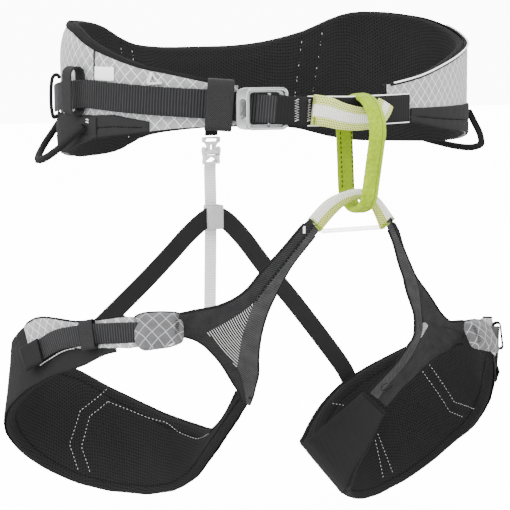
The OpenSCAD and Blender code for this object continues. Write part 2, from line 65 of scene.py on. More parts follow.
# ---- The part's own surfaces, in millimetres ----
WAIST_W, WAIST_D = 160, 115
WAIST_TOP = [
    (29, 18), (37, 22), (48, 28), (58, 32), (66, 38), (73, 43), (81, 49), (90, 56), (105, 60), (130, 58),
    (140, 54), (150, 44), (157, 38), (168, 35), (190, 35), (200, 38), (212, 46), (220, 56), (228, 62),
    (241, 62), (259, 58), (276, 50), (287, 44), (305, 38), (315, 33), (324, 28), (335, 21), (348, 16),
]
WAIST_BOTTOM = [
    (29, -10), (45, -12), (62, -17), (73, -20), (100, -32), (125, -43), (142, -44), (150, -42), (157, -34),
    (165, -31), (180, -29), (204, -29), (212, -32), (220, -38), (231, -41), (248, -40), (268, -38),
    (278, -35), (297, -27), (324, -19), (338, -12), (348, -9),
]
WEBBING_Z = [(-20, -1), (0, -1), (11, 0), (20, 2), (38, 6), (54, 8), (76, 11), (92, 8), (106, 4)]
WEBBING_OFF = [(-20, 0.4), (10, 0.4), (14, 6.3), (22.6, 6.3), (25.6, 1.7), (30, 1.7), (38, 3), (106, 3)]
LEG_MID = 12
TOP_RING = (118, 29, 92, 76, 67)
BOTTOM_RING = (127, 6, 105, 61, 59)
LEG_TOP = {
    -1: [
        (-5, -143), (20, -144), (33, -147), (50, -151), (70, -150), (80, -152), (92, -160), (120, -180),
        (150, -197), (180, -214), (196, -229), (213, -240), (229, -248), (246, -252), (265, -254),
        (275, -249), (285, -240), (302, -218), (315, -209),
    ],
    1: [
        (-5, -166), (20, -169), (50, -176), (90, -190), (120, -205), (139, -216), (158, -232), (178, -248),
        (200, -268), (219, -282), (245, -281), (267, -271), (285, -256), (303, -236), (315, -219),
    ],
}
LEG_BOTTOM = {
    -1: [
        (-5, -170), (20, -167), (39, -173), (55, -182), (82, -192), (104, -206), (122, -224), (143, -255),
        (155, -275), (166, -290), (177, -299), (192, -304), (220, -304), (245, -298), (262, -286),
        (276, -266), (290, -243), (305, -218), (315, -209),
    ],
    1: [
        (-5, -189), (20, -197), (48, -218), (70, -238), (97, -261), (128, -296), (143, -320), (154, -334),
        (168, -342), (182, -341), (199, -335), (219, -326), (245, -318), (271, -306), (291, -281),
        (301, -267), (309, -245), (315, -224),
    ],
}
LEG_WEB_MID = [(-5, 0.5), (20, 0.52), (36, 0.62), (50, 0.68), (62, 0.62), (78, 0.46), (95, 0.4)]
PIVOT = {-1: (37, -112, -81.5), 1: (25.5, -112, -84.5)}
ARM = {-1: (114, -70, -155), 1: (114, -72, -182)}
JOIN = {-1: (57, -53, -214), 1: (58, -53, -220)}
SIDE_NAME = {-1: "left", 1: "right"}


def look(t, knots):
    return np.interp(t, [k[0] for k in knots], [k[1] for k in knots])


def soft(t, knots, w=4.0):
    return (look(t - w, knots) + 2 * look(t, knots) + look(t + w, knots)) / 4


def unit(v):
    v = np.asarray(v, float)
    return v / np.maximum(np.linalg.norm(v, axis=-1, keepdims=True), 1e-9)


def bell(x, width):
    return np.exp(-((x / width) ** 2))


def stack(*parts):
    return np.stack(np.broadcast_arrays(*[np.asarray(p, float) for p in parts]), axis=-1)


def belt(t, z, off):
    """Point on the belt; its top leans in over the hips."""
    a = np.radians(t)
    out = off - 7 * (np.maximum(np.asarray(z, float) - 36, 0) / 26) ** 2
    return stack(-(WAIST_W + out) * np.sin(a), -(WAIST_D + out) * np.cos(a), z)


def ring_plan(ring, t, off):
    a, p = np.radians(t), math.radians(ring[4])
    e0, e1 = np.sin(a), -np.cos(a)
    c0 = e0 * math.cos(p) + e1 * math.sin(p)
    c1 = -e0 * math.sin(p) + e1 * math.cos(p)
    r = 1 / np.sqrt((c0 / ring[2]) ** 2 + (c1 / ring[3]) ** 2) + off
    return ring[0] + r * e0, ring[1] + r * e1


def leg(side, t, u, off):
    lo, hi = ring_plan(BOTTOM_RING, t, off), ring_plan(TOP_RING, t, off)
    z = soft(t, LEG_BOTTOM[side]) * (1 - u) + soft(t, LEG_TOP[side]) * u
    return stack(LEG_MID + side * (lo[0] * (1 - u) + hi[0] * u), lo[1] * (1 - u) + hi[1] * u, z)


def leg_height(side, t):
    return np.linalg.norm(leg(side, t, 1, 0) - leg(side, t, 0, 0), axis=-1)


def leg_place(side):
    """Leg surface by height in millimetres instead of a share of it."""
    return lambda t, h, off: leg(side, t, h / leg_height(side, t), off)


def web(side, u, v, lift):
    u, v = np.asarray(u, float), np.asarray(v, float)
    pivot, join, arm = (np.array(k[side], float) for k in (PIVOT, JOIN, ARM))
    down = unit(join - pivot)
    flat = arm - pivot
    across = unit(flat - (flat @ down) * down)
    drop = (0 if side < 0 else 12) * (np.maximum(u, 0) / 66) ** 2
    late = (0 if side < 0 else 12) * np.minimum(1, np.maximum(v, 0) / 40)
    bulge = 12 * np.sin(np.pi * np.clip(v / 135, 0, 1)) * np.clip(1 - (u - 16) / 40, 0, 1)
    p = (
        pivot
        + u[..., None] * across
        + (v + drop + late)[..., None] * down
        + (bulge + lift)[..., None] * np.cross(down, across)
    )
    return stack(LEG_MID + side * p[..., 0], p[..., 1], p[..., 2])


def smooth(points, n):
    """Catmull-Rom curve through points, n steps to a stretch."""
    k = np.asarray(points, float)
    out = []
    for i in range(len(k) - 1):
        a, b, c, d = k[max(i - 1, 0)], k[i], k[i + 1], k[min(i + 2, len(k) - 1)]
        for s in np.arange(n) / n:
            out.append(0.5 * (2 * b + (c - a) * s + (2 * a - 5 * b + 4 * c - d) * s**2 + (3 * b - a - 3 * c + d) * s**3))
    out.append(k[-1])
    return np.array(out)


def lengths(route):
    steps = np.linalg.norm(np.diff(route, axis=0), axis=1)
    return np.concatenate([[0], np.cumsum(steps)])


# ---- Mesh builders ----
def mesh(name, verts, faces, uvs, mat, body, sharp=38):
    """Mesh object from millimetre vertices; uvs is one pair per face corner, in millimetres."""
    data = bpy.data.meshes.new(name)
    data.from_pydata((np.asarray(verts, float) * MM).tolist(), [], faces)
    layer = data.uv_layers.new(name="UVMap")
    layer.data.foreach_set("uv", np.asarray(uvs, np.float32).ravel())
    work = bmesh.new()
    work.from_mesh(data)
    bmesh.ops.recalc_face_normals(work, faces=work.faces)
    work.to_mesh(data)
    work.free()
    data.polygons.foreach_set("use_smooth", [True] * len(data.polygons))
    data.set_sharp_from_angle(angle=math.radians(sharp))
    data.materials.append(mat)
    obj = bpy.data.objects.new(name, data)
    bpy.context.scene.collection.objects.link(obj)
    if body:
        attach(obj, body)
    return obj


class Build:
    """Collects several lofts into one mesh."""

    def __init__(self):
        self.verts, self.faces, self.uvs, self.count = [], [], [], 0

    def loft(self, rings, u, v, caps=True, loop=False):
        """rings: n x m x 3, each ring closed; u along, v round the ring (m + 1 values, or n x (m + 1))."""
        rings = np.asarray(rings, float)
        n, m = rings.shape[:2]
        base = self.count
        self.verts.append(rings.reshape(-1, 3))
        v = np.broadcast_to(np.asarray(v, float), (n, m + 1))
        u = np.asarray(u, float)
        for i in range(n if loop else n - 1):
            k = (i + 1) % n
            u1 = u[i + 1] if i + 1 < len(u) else u[i] + (u[1] - u[0])
            for j in range(m):
                q = (j + 1) % m
                self.faces.append([base + i * m + j, base + k * m + j, base + k * m + q, base + i * m + q])
                self.uvs += [(u[i], v[i][j]), (u1, v[k][j]), (u1, v[k][j + 1]), (u[i], v[i][j + 1])]
        self.count += n * m
        if caps and not loop:
            for i in (0, n - 1):
                self.verts.append(rings[i].mean(axis=0)[None])
                mid = self.count
                self.count += 1
                for j in range(m):
                    q = (j + 1) % m
                    self.faces.append([base + i * m + j, base + i * m + q, mid])
                    self.uvs += [(u[i], v[i][j]), (u[i], v[i][j + 1]), (u[i] + 1, (v[i][j] + v[i][j + 1]) / 2)]
        return self

    def done(self, name, mat, body, sharp=38):
        return mesh(name, np.concatenate(self.verts), self.faces, self.uvs, mat, body, sharp)


FLAT = [
    (-1, 0), (-0.97, 0.6), (-0.9, 1), (-0.6, 0.92), (-0.2, 0.9), (0.2, 0.9), (0.6, 0.92), (0.9, 1), (0.97, 0.6),
    (1, 0), (0.97, -0.6), (0.9, -1), (0.6, -0.92), (0.2, -0.9), (-0.2, -0.9), (-0.6, -0.92), (-0.9, -1), (-0.97, -0.6),
]
SOFT = [
    (-1, 0), (-0.96, 0.4), (-0.86, 0.7), (-0.65, 0.9), (-0.3, 1), (0, 1), (0.3, 1), (0.65, 0.9), (0.86, 0.7),
    (0.96, 0.4), (1, 0), (0.96, -0.4), (0.86, -0.7), (0.65, -0.9), (0.3, -1), (0, -1), (-0.3, -1), (-0.65, -0.9),
    (-0.86, -0.7), (-0.96, -0.4),
]


def ribbon_rings(route, facing, width, thick, profile, loop=False):
    route = np.asarray(route, float)
    n = len(route)
    if loop:
        along = unit(np.roll(route, -1, 0) - np.roll(route, 1, 0))
    else:
        along = unit(np.gradient(route, axis=0))
    across = unit(np.cross(along, np.broadcast_to(np.asarray(facing, float), (n, 3))))
    out = unit(np.cross(across, along))
    width = np.broadcast_to(np.asarray(width, float), (n,))
    thick = np.broadcast_to(np.asarray(thick, float), (n,))
    prof = np.array(profile)
    return (
        route[:, None]
        + across[:, None] * prof[None, :, :1] * width[:, None, None] / 2
        + out[:, None] * prof[None, :, 1:] * thick[:, None, None] / 2
    )


def ribbon(name, route, facing, width, thick, mat, body, profile=FLAT, loop=False, build=None, u0=0.0):
    """Strap along a route, its face looking the way of facing. UV: length along, place across."""
    route = np.asarray(route, float)
    rings = ribbon_rings(route, facing, width, thick, profile, loop)
    nominal = float(np.max(width)) / 2
    v = [p[0] * nominal for p in profile] + [profile[0][0] * nominal]
    b = build or Build()
    b.loft(rings, u0 + lengths(route), v, loop=loop)
    return b if build else b.done(name, mat, body)


def tube_into(b, route, r, sides=8, loop=False):
    route = np.asarray(route, float)
    n = len(route)
    if loop:
        along = unit(np.roll(route, -1, 0) - np.roll(route, 1, 0))
    else:
        along = unit(np.gradient(route, axis=0))
    side = np.zeros((n, 3))
    ref = np.array([0.0, 0.0, 1.0]) if abs(along[0][2]) < 0.8 else np.array([1.0, 0.0, 0.0])
    for i in range(n):
        ref = ref - (ref @ along[i]) * along[i]
        ref /= np.linalg.norm(ref)
        side[i] = ref
    other = np.cross(along, side)
    a = np.linspace(0, 2 * np.pi, sides, endpoint=False)
    r = np.broadcast_to(np.asarray(r, float), (n,))
    rings = route[:, None] + r[:, None, None] * (
        np.cos(a)[None, :, None] * side[:, None] + np.sin(a)[None, :, None] * other[:, None]
    )
    b.loft(rings, lengths(route), np.linspace(0, 2 * np.pi * r.mean(), sides + 1), loop=loop)


def tube(name, routes, r, mat, body, sides=8, loop=False):
    b = Build()
    for route in routes:
        tube_into(b, route, r, sides, loop)
    return b.done(name, mat, body)


def sew(b, route, length=1.7, gap=1.1, r=0.3):
    """Row of separate stitches along a route."""
    route = np.asarray(route, float)
    s = lengths(route)
    at = 0.3
    while at + length < s[-1]:
        ks = np.array([0, 0.2, 0.8, 1]) * length + at
        p = np.stack([np.interp(ks, s, route[:, k]) for k in range(3)], axis=1)
        tube_into(b, p, np.array([0.35, 1, 1, 0.35]) * r, 5)
        at += length + gap


def stitches(name, routes, mat, body, length=1.7, gap=1.1, r=0.3):
    b = Build()
    for route in routes:
        sew(b, route, length, gap, r)
    return b.done(name, mat, body)


def zigzag(start, end, across, count):
    """Bartack: a thread to and fro between two lines."""
    start, end, across = (np.asarray(p, float) for p in (start, end, across))
    k = np.arange(count + 1) / count
    swing = np.where(np.arange(count + 1) % 2, 0.5, -0.5)
    return start + (end - start) * k[:, None] + across * swing[:, None]


def pad_ring(low, high, off_out, thick, crown, n):
    """Closed pad outline as [off, height] rows: flat outer face, crowned inner face, round rims."""
    r = min(thick * 0.46, 4.0)
    s = (1 - np.cos(np.linspace(0, np.pi, n))) / 2
    face = low + r + (high - low - 2 * r) * (0.35 * s + 0.65 * np.linspace(0, 1, n))
    rim = np.radians(np.linspace(0, 90, 5)[1:-1])
    share = np.linspace(-1, 1, n)
    inner_off = off_out - thick - crown * (1 - share**4)
    rows = [(off_out, z) for z in face]
    rows += [(off_out - r + r * math.cos(a), high - r + r * math.sin(a)) for a in rim]
    rows += [(off_out - thick / 2, high)]
    rows += [(off_out - thick + r - r * math.cos(a), high - r + r * math.sin(a)) for a in rim[::-1]]
    rows += list(zip(inner_off[::-1], face[::-1]))
    rows += [(off_out - thick + r - r * math.cos(a), low + r - r * math.sin(a)) for a in rim]
    rows += [(off_out - thick / 2, low)]
    rows += [(off_out - r + r * math.cos(a), low + r - r * math.sin(a)) for a in rim[::-1]]
    return np.array(rows)


def patch(name, ts, low, high, off_in, off_out, place, mat, body, nz=9, shape=None, build=None, u_scale=1.0):
    """Cloth of some thickness on a curved surface; low, high are functions of t. shape(t, z) lifts its face."""
    ts = np.asarray(ts, float)
    rings, v = [], []
    for t in ts:
        z = np.linspace(low(t), high(t), nz)
        edge = np.minimum(1, np.minimum(np.arange(nz), np.arange(nz)[::-1]) * 2.0)
        out = off_out + (shape(t, z) if shape else 0) - (1 - edge) * 0.35 * (off_out - off_in)
        tt = np.full(nz, t)
        rings.append(np.concatenate([place(tt, z, out), place(tt, z, np.full(nz, off_in))[::-1]]))
        v.append(np.concatenate([z, z[::-1], z[:1]]))
    mid = np.array([place(np.array([t]), np.array([(low(t) + high(t)) / 2]), np.array([off_out]))[0] for t in ts])
    b = build or Build()
    b.loft(rings, lengths(mid) * u_scale, v)
    return b if build else b.done(name, mat, body)


def plate(name, outlines, thick, bevel, matrix, mat, body, resolution=3):
    """Flat part cut from outlines (the first is outside, the rest are holes), with rounded edges."""
    curve = bpy.data.curves.new(name, "CURVE")
    curve.dimensions = "2D"
    curve.fill_mode = "BOTH"
    curve.extrude = max(thick / 2 - bevel, 0.01) * MM
    curve.bevel_depth = bevel * MM
    curve.bevel_resolution = resolution
    curve.offset = -bevel * MM
    for line in outlines:
        spline = curve.splines.new("POLY")
        spline.points.add(len(line) - 1)
        for p, q in zip(spline.points, line):
            p.co = (q[0] * MM, q[1] * MM, 0, 1)
        spline.use_cyclic_u = True
    holder = bpy.data.objects.new(name + "_curve", curve)
    bpy.context.scene.collection.objects.link(holder)
    bpy.context.view_layer.update()
    data = bpy.data.meshes.new_from_object(holder)
    data.name = name
    bpy.data.objects.remove(holder)
    data.transform(matrix)
    work = bmesh.new()
    work.from_mesh(data)
    bmesh.ops.remove_doubles(work, verts=work.verts, dist=1e-6)
    bmesh.ops.recalc_face_normals(work, faces=work.faces)
    work.to_mesh(data)
    work.free()
    data.polygons.foreach_set("use_smooth", [True] * len(data.polygons))
    data.set_sharp_from_angle(angle=math.radians(35))
    data.materials.clear()
    data.materials.append(mat)
    obj = bpy.data.objects.new(name, data)
    bpy.context.scene.collection.objects.link(obj)
    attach(obj, body)
    return obj


def rounded(w, h, r, cx=0.0, cy=0.0, n=8):
    """Outline of a rectangle with round corners."""
    pts = []
    for sx, sy, a0 in ((1, 1, 0), (-1, 1, 90), (-1, -1, 180), (1, -1, 270)):
        for a in np.radians(a0 + np.linspace(0, 90, n)):
            pts.append((cx + sx * (w / 2 - r) + r * math.cos(a), cy + sy * (h / 2 - r) + r * math.sin(a)))
    return pts


def axes(origin, x, out):
    """Matrix for a plate: x along the strap, y up across it, z out of the face. Millimetres in, metres out."""
    x, out = unit(x), unit(out)
    out = unit(out - (out @ x) * x)
    y = np.cross(out, x)
    m = Matrix.Identity(4)
    for row in range(3):
        m[row][0], m[row][1], m[row][2], m[row][3] = x[row], y[row], out[row], origin[row] * MM
    return m


def at_belt(t, z, off):
    x = unit(belt(t - 1, z, off) - belt(t + 1, z, off))
    return axes(belt(t, z, off), x, np.array([x[1], -x[0], 0.0]))


def at_leg(side, t, u, off):
    """Matrix on a leg loop's face, its y axis up the face."""
    x = side * unit(leg(side, t + 2, u, off) - leg(side, t - 2, u, off))
    up = unit(leg(side, t, u + 0.1, off) - leg(side, t, u - 0.1, off))
    return axes(leg(side, t, u, off), x, np.cross(x, up))


def local(matrix, points):
    """Points given in a plate's own millimetres, in the harness frame's millimetres."""
    return np.array([list(matrix @ Vector([c * MM for c in p])) for p in points]) / MM


def sleeve(name, matrix, half_up, half_out, r, width, thick, mat, body, n=6, profile=FLAT, shape=None):
    """Band closed round a strap: the plate's x is its width."""
    line = rounded(2 * half_up, 2 * half_out, r, n=n)
    dense = []
    for i, p in enumerate(line):
        q = line[(i + 1) % len(line)]
        steps = max(1, int(math.dist(p, q) / 1.5))
        dense += [(p[0] + (q[0] - p[0]) * k / steps, p[1] + (q[1] - p[1]) * k / steps) for k in range(steps)]
    pts = np.array([(shape(p) if shape else 0.0, p[0], p[1]) for p in dense])
    route = local(matrix, pts)
    axis = np.array(matrix.to_3x3() @ Vector((1, 0, 0)))
    along = unit(np.roll(route, -1, 0) - np.roll(route, 1, 0))
    facing = np.cross(axis, along)
    rings = ribbon_rings(route, facing, width, thick, profile, True)
    v = [p[0] * width / 2 for p in profile] + [profile[0][0] * width / 2]
    b = Build()
    b.loft(rings, lengths(np.vstack([route, route[:1]])), v, loop=True)
    return b.done(name, mat, body)


def even(outline, n):
    """Closed outline resampled to n points with its corners rounded."""
    line = np.asarray(list(outline) + [outline[0]], float)
    at = lengths(line)
    k = np.linspace(0, at[-1], n, endpoint=False)
    pts = np.stack([np.interp(k, at, line[:, c]) for c in (0, 1)], axis=1)
    for _ in range(6):
        pts = (np.roll(pts, 1, 0) + 2 * pts + np.roll(pts, -1, 0)) / 4
    return pts


def pillow(name, outline, matrix, front, back, mat, body, bend=0.0, ripple=None, n=84, rows=9):
    """Flat pocket with closed, rounded edges; front and back are its depths, bend follows the face's curve."""
    rim = even(outline, n)
    mid = rim.mean(axis=0)
    verts, faces, flat = [], [], []
    shares = [0.02, 0.25, 0.45, 0.62, 0.76, 0.87, 0.94, 0.98, 1.0][-rows:]
    rings = [(k, front) for k in shares] + [(k, -back) for k in shares[-2::-1]]
    for k, depth in rings:
        ring = mid + (rim - mid) * k
        z = depth * (1 - k**5) - bend * ring[:, 0] ** 2
        if ripple is not None:
            z = z + ripple(ring[:, 0], ring[:, 1]) * (1 - k**3) * np.sign(depth)
        verts += [(x, y, d) for (x, y), d in zip(ring, z)]
        flat += [tuple(q) for q in ring]
    count = len(rings)
    for i in range(count - 1):
        for j in range(n):
            q = (j + 1) % n
            faces.append([i * n + j, (i + 1) * n + j, (i + 1) * n + q, i * n + q])
    faces.append(list(range(n)))
    faces.append([(count - 1) * n + j for j in range(n)])
    uvs = [flat[k] for face in faces for k in face]
    return mesh(name, local(matrix, verts), faces, uvs, mat, body, 50)


# ---- Materials ----
class Shader:
    """A principled material with small helpers; patterns run on the UV map, in millimetres."""

    def __init__(self, name, rough=0.8, metal=0.0, sheen=0.0, coat=0.0, specular=0.4):
        self.mat = bpy.data.materials.new(name)
        self.mat.use_nodes = True
        self.tree = self.mat.node_tree
        self.bsdf = self.tree.nodes["Principled BSDF"]
        self.bsdf.inputs["Roughness"].default_value = rough
        self.bsdf.inputs["Metallic"].default_value = metal
        self.bsdf.inputs["Sheen Weight"].default_value = sheen
        self.bsdf.inputs["Sheen Roughness"].default_value = 0.5
        self.bsdf.inputs["Coat Weight"].default_value = coat
        self.bsdf.inputs["Specular IOR Level"].default_value = specular
        uv = self.tree.nodes.new("ShaderNodeUVMap")
        uv.uv_map = "UVMap"
        split = self.tree.nodes.new("ShaderNodeSeparateXYZ")
        self.tree.links.new(uv.outputs[0], split.inputs[0])
        self.uv, self.x, self.y = uv.outputs[0], split.outputs[0], split.outputs[1]

    def put(self, value, socket):
        if isinstance(value, bpy.types.NodeSocket):
            self.tree.links.new(value, socket)
        else:
            socket.default_value = value

    def math(self, op, a, b=0.0, c=0.0):
        node = self.tree.nodes.new("ShaderNodeMath")
        node.operation = op
        for value, socket in zip((a, b, c), node.inputs):
            self.put(value, socket)
        return node.outputs[0]

    def wave(self, x, period, phase=0.0):
        """0 to 1 and back over a period."""
        turn = self.math("MULTIPLY_ADD", x, 2 * math.pi / period, phase)
        return self.math("MULTIPLY_ADD", self.math("SINE", turn), 0.5, 0.5)

    def saw(self, x, period):
        """Distance from the middle of each period, as a share of it, 0 to 0.5."""
        part = self.math("FRACT", self.math("MULTIPLY", x, 1 / period))
        return self.math("ABSOLUTE", self.math("SUBTRACT", part, 0.5))

    def below(self, x, edge, blur):
        """1 where x is under edge, fading over blur."""
        node = self.tree.nodes.new("ShaderNodeMapRange")
        node.interpolation_type = "SMOOTHSTEP"
        for value, socket in zip((x, edge - blur, edge + blur, 1.0, 0.0), node.inputs):
            self.put(value, socket)
        return node.outputs[0]

    def noise(self, scale, detail=2.0, stretch=(1, 1), vector=None):
        where = self.tree.nodes.new("ShaderNodeMapping")
        where.inputs["Scale"].default_value = (stretch[0], stretch[1], 1)
        self.put(vector or self.uv, where.inputs["Vector"])
        node = self.tree.nodes.new("ShaderNodeTexNoise")
        node.inputs["Scale"].default_value = scale
        node.inputs["Detail"].default_value = detail
        self.tree.links.new(where.outputs[0], node.inputs["Vector"])
        return node.outputs[0]

    def place(self):
        node = self.tree.nodes.new("ShaderNodeTexCoord")
        return node.outputs["Object"]

    def mix(self, share, a, b):
        node = self.tree.nodes.new("ShaderNodeMix")
        node.data_type = "RGBA"
        self.put(share, node.inputs[0])
        for value, socket in ((a, node.inputs[6]), (b, node.inputs[7])):
            self.put(value if isinstance(value, bpy.types.NodeSocket) else (*value, 1), socket)
        return node.outputs[2]

    def color(self, value):
        self.put(value, self.bsdf.inputs["Base Color"])

    def bump(self, height, depth, strength=1.0):
        """height from 0 to 1 stands for depth millimetres."""
        node = self.tree.nodes.new("ShaderNodeBump")
        node.inputs["Strength"].default_value = strength
        node.inputs["Distance"].default_value = depth * MM
        self.tree.links.new(height, node.inputs["Height"])
        self.tree.links.new(node.outputs[0], self.bsdf.inputs["Normal"])


def gloss(color):
    """Dark cloth shines least."""
    return 0.06 if color[0] < 0.1 else 0.25


def shade(color, k):
    return tuple(c * k for c in color)


def woven(name, color, period=0.9, depth=0.12, rough=0.85, sheen=0.1, contrast=0.75):
    """Plain close weave."""
    s = Shader(name, rough, sheen=sheen, specular=gloss(color))
    a, b = s.wave(s.x, period), s.wave(s.y, period)
    thread = s.math("MULTIPLY", a, b)
    cloud = s.noise(0.05, 3)
    fine = s.noise(1.4, 2)
    mixed = s.math("MULTIPLY_ADD", fine, 0.5, s.math("MULTIPLY", thread, 0.5))
    tone = s.math("MULTIPLY_ADD", cloud, 0.6, s.math("MULTIPLY", mixed, 0.4))
    s.color(s.mix(tone, shade(color, contrast), shade(color, 2 - contrast)))
    s.bump(mixed, depth)
    return s.mat


def ribbed(name, color, period=1.6, depth=0.35, rough=0.7, sheen=0.03, light=1.7, dark=0.45):
    """Webbing with ribs across the strap and a finer weave along it; light and dark scale the colour by rib height,
    painted highlight on the rib crests and painted shade in the grooves, mixed with a random dust tone.
    """
    s = Shader(name, rough, sheen=sheen, specular=1.6 * gloss(color))
    rib = s.wave(s.x, period)
    warp = s.wave(s.y, 0.8)
    height = s.math("MULTIPLY_ADD", rib, 0.8, s.math("MULTIPLY", warp, 0.2))
    dust = s.noise(0.9, 2)
    tone = s.math("MULTIPLY_ADD", dust, 0.25, s.math("MULTIPLY", height, 0.75))
    # painted highlight and painted shade: the colour runs from dark in the grooves to light on the rib crests
    s.color(s.mix(tone, shade(color, dark), shade(color, light)))
    s.bump(height, depth)
    return s.mat


def diagonal(name, color, period=1.1, depth=0.2, rough=0.85, light=1.4, dark=0.6, cross=0.4, cloudy=0.3):
    """Elastic or twill with a fine slanting weave; light and dark scale the colour, partly by random cloud and partly
    by weave height, painted highlight on the raised weave and painted shade between its lines.
    """
    s = Shader(name, rough, sheen=0.0, specular=gloss(color))
    a = s.wave(s.math("ADD", s.x, s.y), period)
    b = s.wave(s.math("SUBTRACT", s.x, s.y), period)
    height = s.math("MULTIPLY_ADD", a, 1 - cross, s.math("MULTIPLY", b, cross))
    cloud = s.noise(0.7 if cloudy < 0.4 else 0.11, 4)
    tone = s.math("MULTIPLY_ADD", cloud, cloudy, s.math("MULTIPLY", height, 1 - cloudy))
    # partly random mottling, partly painted highlight on the raised weave and painted shade in its hollows
    s.color(s.mix(tone, shade(color, dark), shade(color, light)))
    s.bump(height, depth)
    return s.mat


def spacer(name, color, px=2.2, py=2.6, depth=0.6, hole=0.24):
    """3D mesh: staggered rows of small round holes in a matt knit; the holes are painted dark, painted shade inside
    them.
    """
    s = Shader(name, 0.95, specular=0.06)
    row = s.math("MULTIPLY", s.math("FLOOR", s.math("MULTIPLY", s.x, 1 / px)), 0.5)
    gx = s.saw(s.x, px)
    part = s.math("FRACT", s.math("MULTIPLY_ADD", s.y, 1 / py, row))
    gy = s.math("ABSOLUTE", s.math("SUBTRACT", part, 0.5))
    far = s.math("SQRT", s.math("ADD", s.math("POWER", gx, 2.0), s.math("POWER", gy, 2.0)))
    hole_and_painted_shade = s.below(far, hole, 0.12)
    knit = s.noise(1.6, 2)
    cloud = s.noise(0.03, 2)
    tone = s.math("MULTIPLY_ADD", knit, 0.5, s.math("MULTIPLY", cloud, 0.5))
    base = s.mix(tone, shade(color, 0.7), shade(color, 1.4))
    # painted shade: the holes take a quarter of the knit's colour
    s.color(s.mix(hole_and_painted_shade, base, shade(color, 0.25)))
    s.bump(s.math("SUBTRACT", s.math("MULTIPLY", knit, 0.3), hole_and_painted_shade), depth)
    return s.mat


def ripstop(name, color, line, step=5.0, rough=0.55):
    """Thin fabric with a diamond grid of thicker pale threads."""
    s = Shader(name, rough, sheen=0.08, specular=0.35)
    wob = s.math("MULTIPLY", s.math("SUBTRACT", s.noise(0.08, 2), 0.5), 1.6)
    a = s.saw(s.math("ADD", s.math("MULTIPLY_ADD", s.x, 0.707, wob), s.math("MULTIPLY", s.y, 0.66)), step)
    b = s.saw(s.math("SUBTRACT", s.math("MULTIPLY_ADD", s.x, 0.707, wob), s.math("MULTIPLY", s.y, 0.66)), step)
    threads = s.math("MAXIMUM", s.below(a, 0.034, 0.022), s.below(b, 0.034, 0.022))
    fine = s.math("MULTIPLY", s.wave(s.x, 0.7), s.wave(s.y, 0.7))
    crease = s.noise(0.22, 5, (1, 1.4))
    tone = s.math("MULTIPLY_ADD", crease, 0.8, s.math("MULTIPLY", fine, 0.2))
    cloth = s.mix(tone, shade(color, 0.45), shade(color, 1.5))
    s.color(s.mix(threads, cloth, line))
    height = s.math("ADD", s.math("MULTIPLY", threads, 0.35), s.math("MULTIPLY_ADD", crease, 0.8, fine))
    s.bump(height, 0.35)
    return s.mat


def napped(name, color, deep, rear=None):
    """Tubular webbing with a velvety nap; rear, when given, is a darker colour painted on the rear strand as painted
    shade.
    """
    s = Shader(name, 0.9, sheen=0.08, specular=0.15)
    nap = s.noise(0.45, 6)
    cloud = s.noise(0.12, 3, (0.4, 1))
    rough = s.math("MULTIPLY_ADD", nap, 0.6, s.math("MULTIPLY", cloud, 0.4))
    tone = s.math("MULTIPLY_ADD", rough, 3.0, -1.0)
    # painted shade: on the rear strand, past y = -0.103 m, the nap mixes between the darker rear colour and deep
    if rear:
        split = s.tree.nodes.new("ShaderNodeSeparateXYZ")
        s.tree.links.new(s.place(), split.inputs[0])
        front = s.below(split.outputs[1], -0.103, 0.006)
        s.color(s.mix(front, s.mix(tone, rear, deep), s.mix(tone, deep, color)))
    else:
        s.color(s.mix(tone, deep, color))
    s.bump(nap, 0.9)
    return s.mat


def striped(name, edge, dots, middle, half, offset=0.0):
    """Tie-in webbing: a white ribbed middle between two dotted green bands."""
    s = Shader(name, 0.8, specular=0.2)
    place = s.math("ABSOLUTE", s.math("SUBTRACT", s.y, offset))
    band = s.below(place, half, 0.25)
    px, py = 1.9, 1.7
    row = s.math("MULTIPLY", s.math("FLOOR", s.math("MULTIPLY", s.y, 1 / py)), 0.5)
    part = s.math("FRACT", s.math("MULTIPLY_ADD", s.x, 1 / px, row))
    gx = s.math("ABSOLUTE", s.math("SUBTRACT", part, 0.5))
    gy = s.saw(s.y, py)
    far = s.math("SQRT", s.math("ADD", s.math("POWER", gx, 2.0), s.math("POWER", gy, 2.0)))
    spot = s.below(far, 0.3, 0.1)
    green = s.mix(spot, edge, dots)
    rib = s.wave(s.x, 1.7)
    fine = s.noise(1.2, 2)
    tone = s.math("MULTIPLY_ADD", rib, 0.6, s.math("MULTIPLY", fine, 0.4))
    white = s.mix(tone, shade(middle, 0.5), middle)
    s.color(s.mix(band, green, white))
    s.bump(s.math("SUBTRACT", rib, s.math("MULTIPLY", spot, 0.8)), 0.25)
    return s.mat


def metal(name, color, rough=0.28):
    """Polished aluminium with faint brushing and small wear marks."""
    s = Shader(name, rough, metal=1.0)
    where = s.place()
    brush = s.noise(900, 3, (0.15, 1.0), where)
    worn = s.noise(140, 4, (1, 1), where)
    s.color(s.mix(s.math("MULTIPLY_ADD", worn, 0.7, s.math("MULTIPLY", brush, 0.3)), shade(color, 0.72), color))
    s.put(s.math("MULTIPLY_ADD", worn, 0.22, rough - 0.08), s.bsdf.inputs["Roughness"])
    s.bump(brush, 0.03)
    return s.mat


def moulded(name, color, rough=0.42):
    """Moulded plastic with a slight surface texture."""
    s = Shader(name, rough, specular=0.5)
    where = s.place()
    grain = s.noise(2600, 2, (1, 1), where)
    cloud = s.noise(90, 3, (1, 1), where)
    s.color(s.mix(cloud, shade(color, 0.85), shade(color, 1.1)))
    s.put(s.math("MULTIPLY_ADD", cloud, 0.2, rough - 0.1), s.bsdf.inputs["Roughness"])
    s.bump(grain, 0.02)
    return s.mat


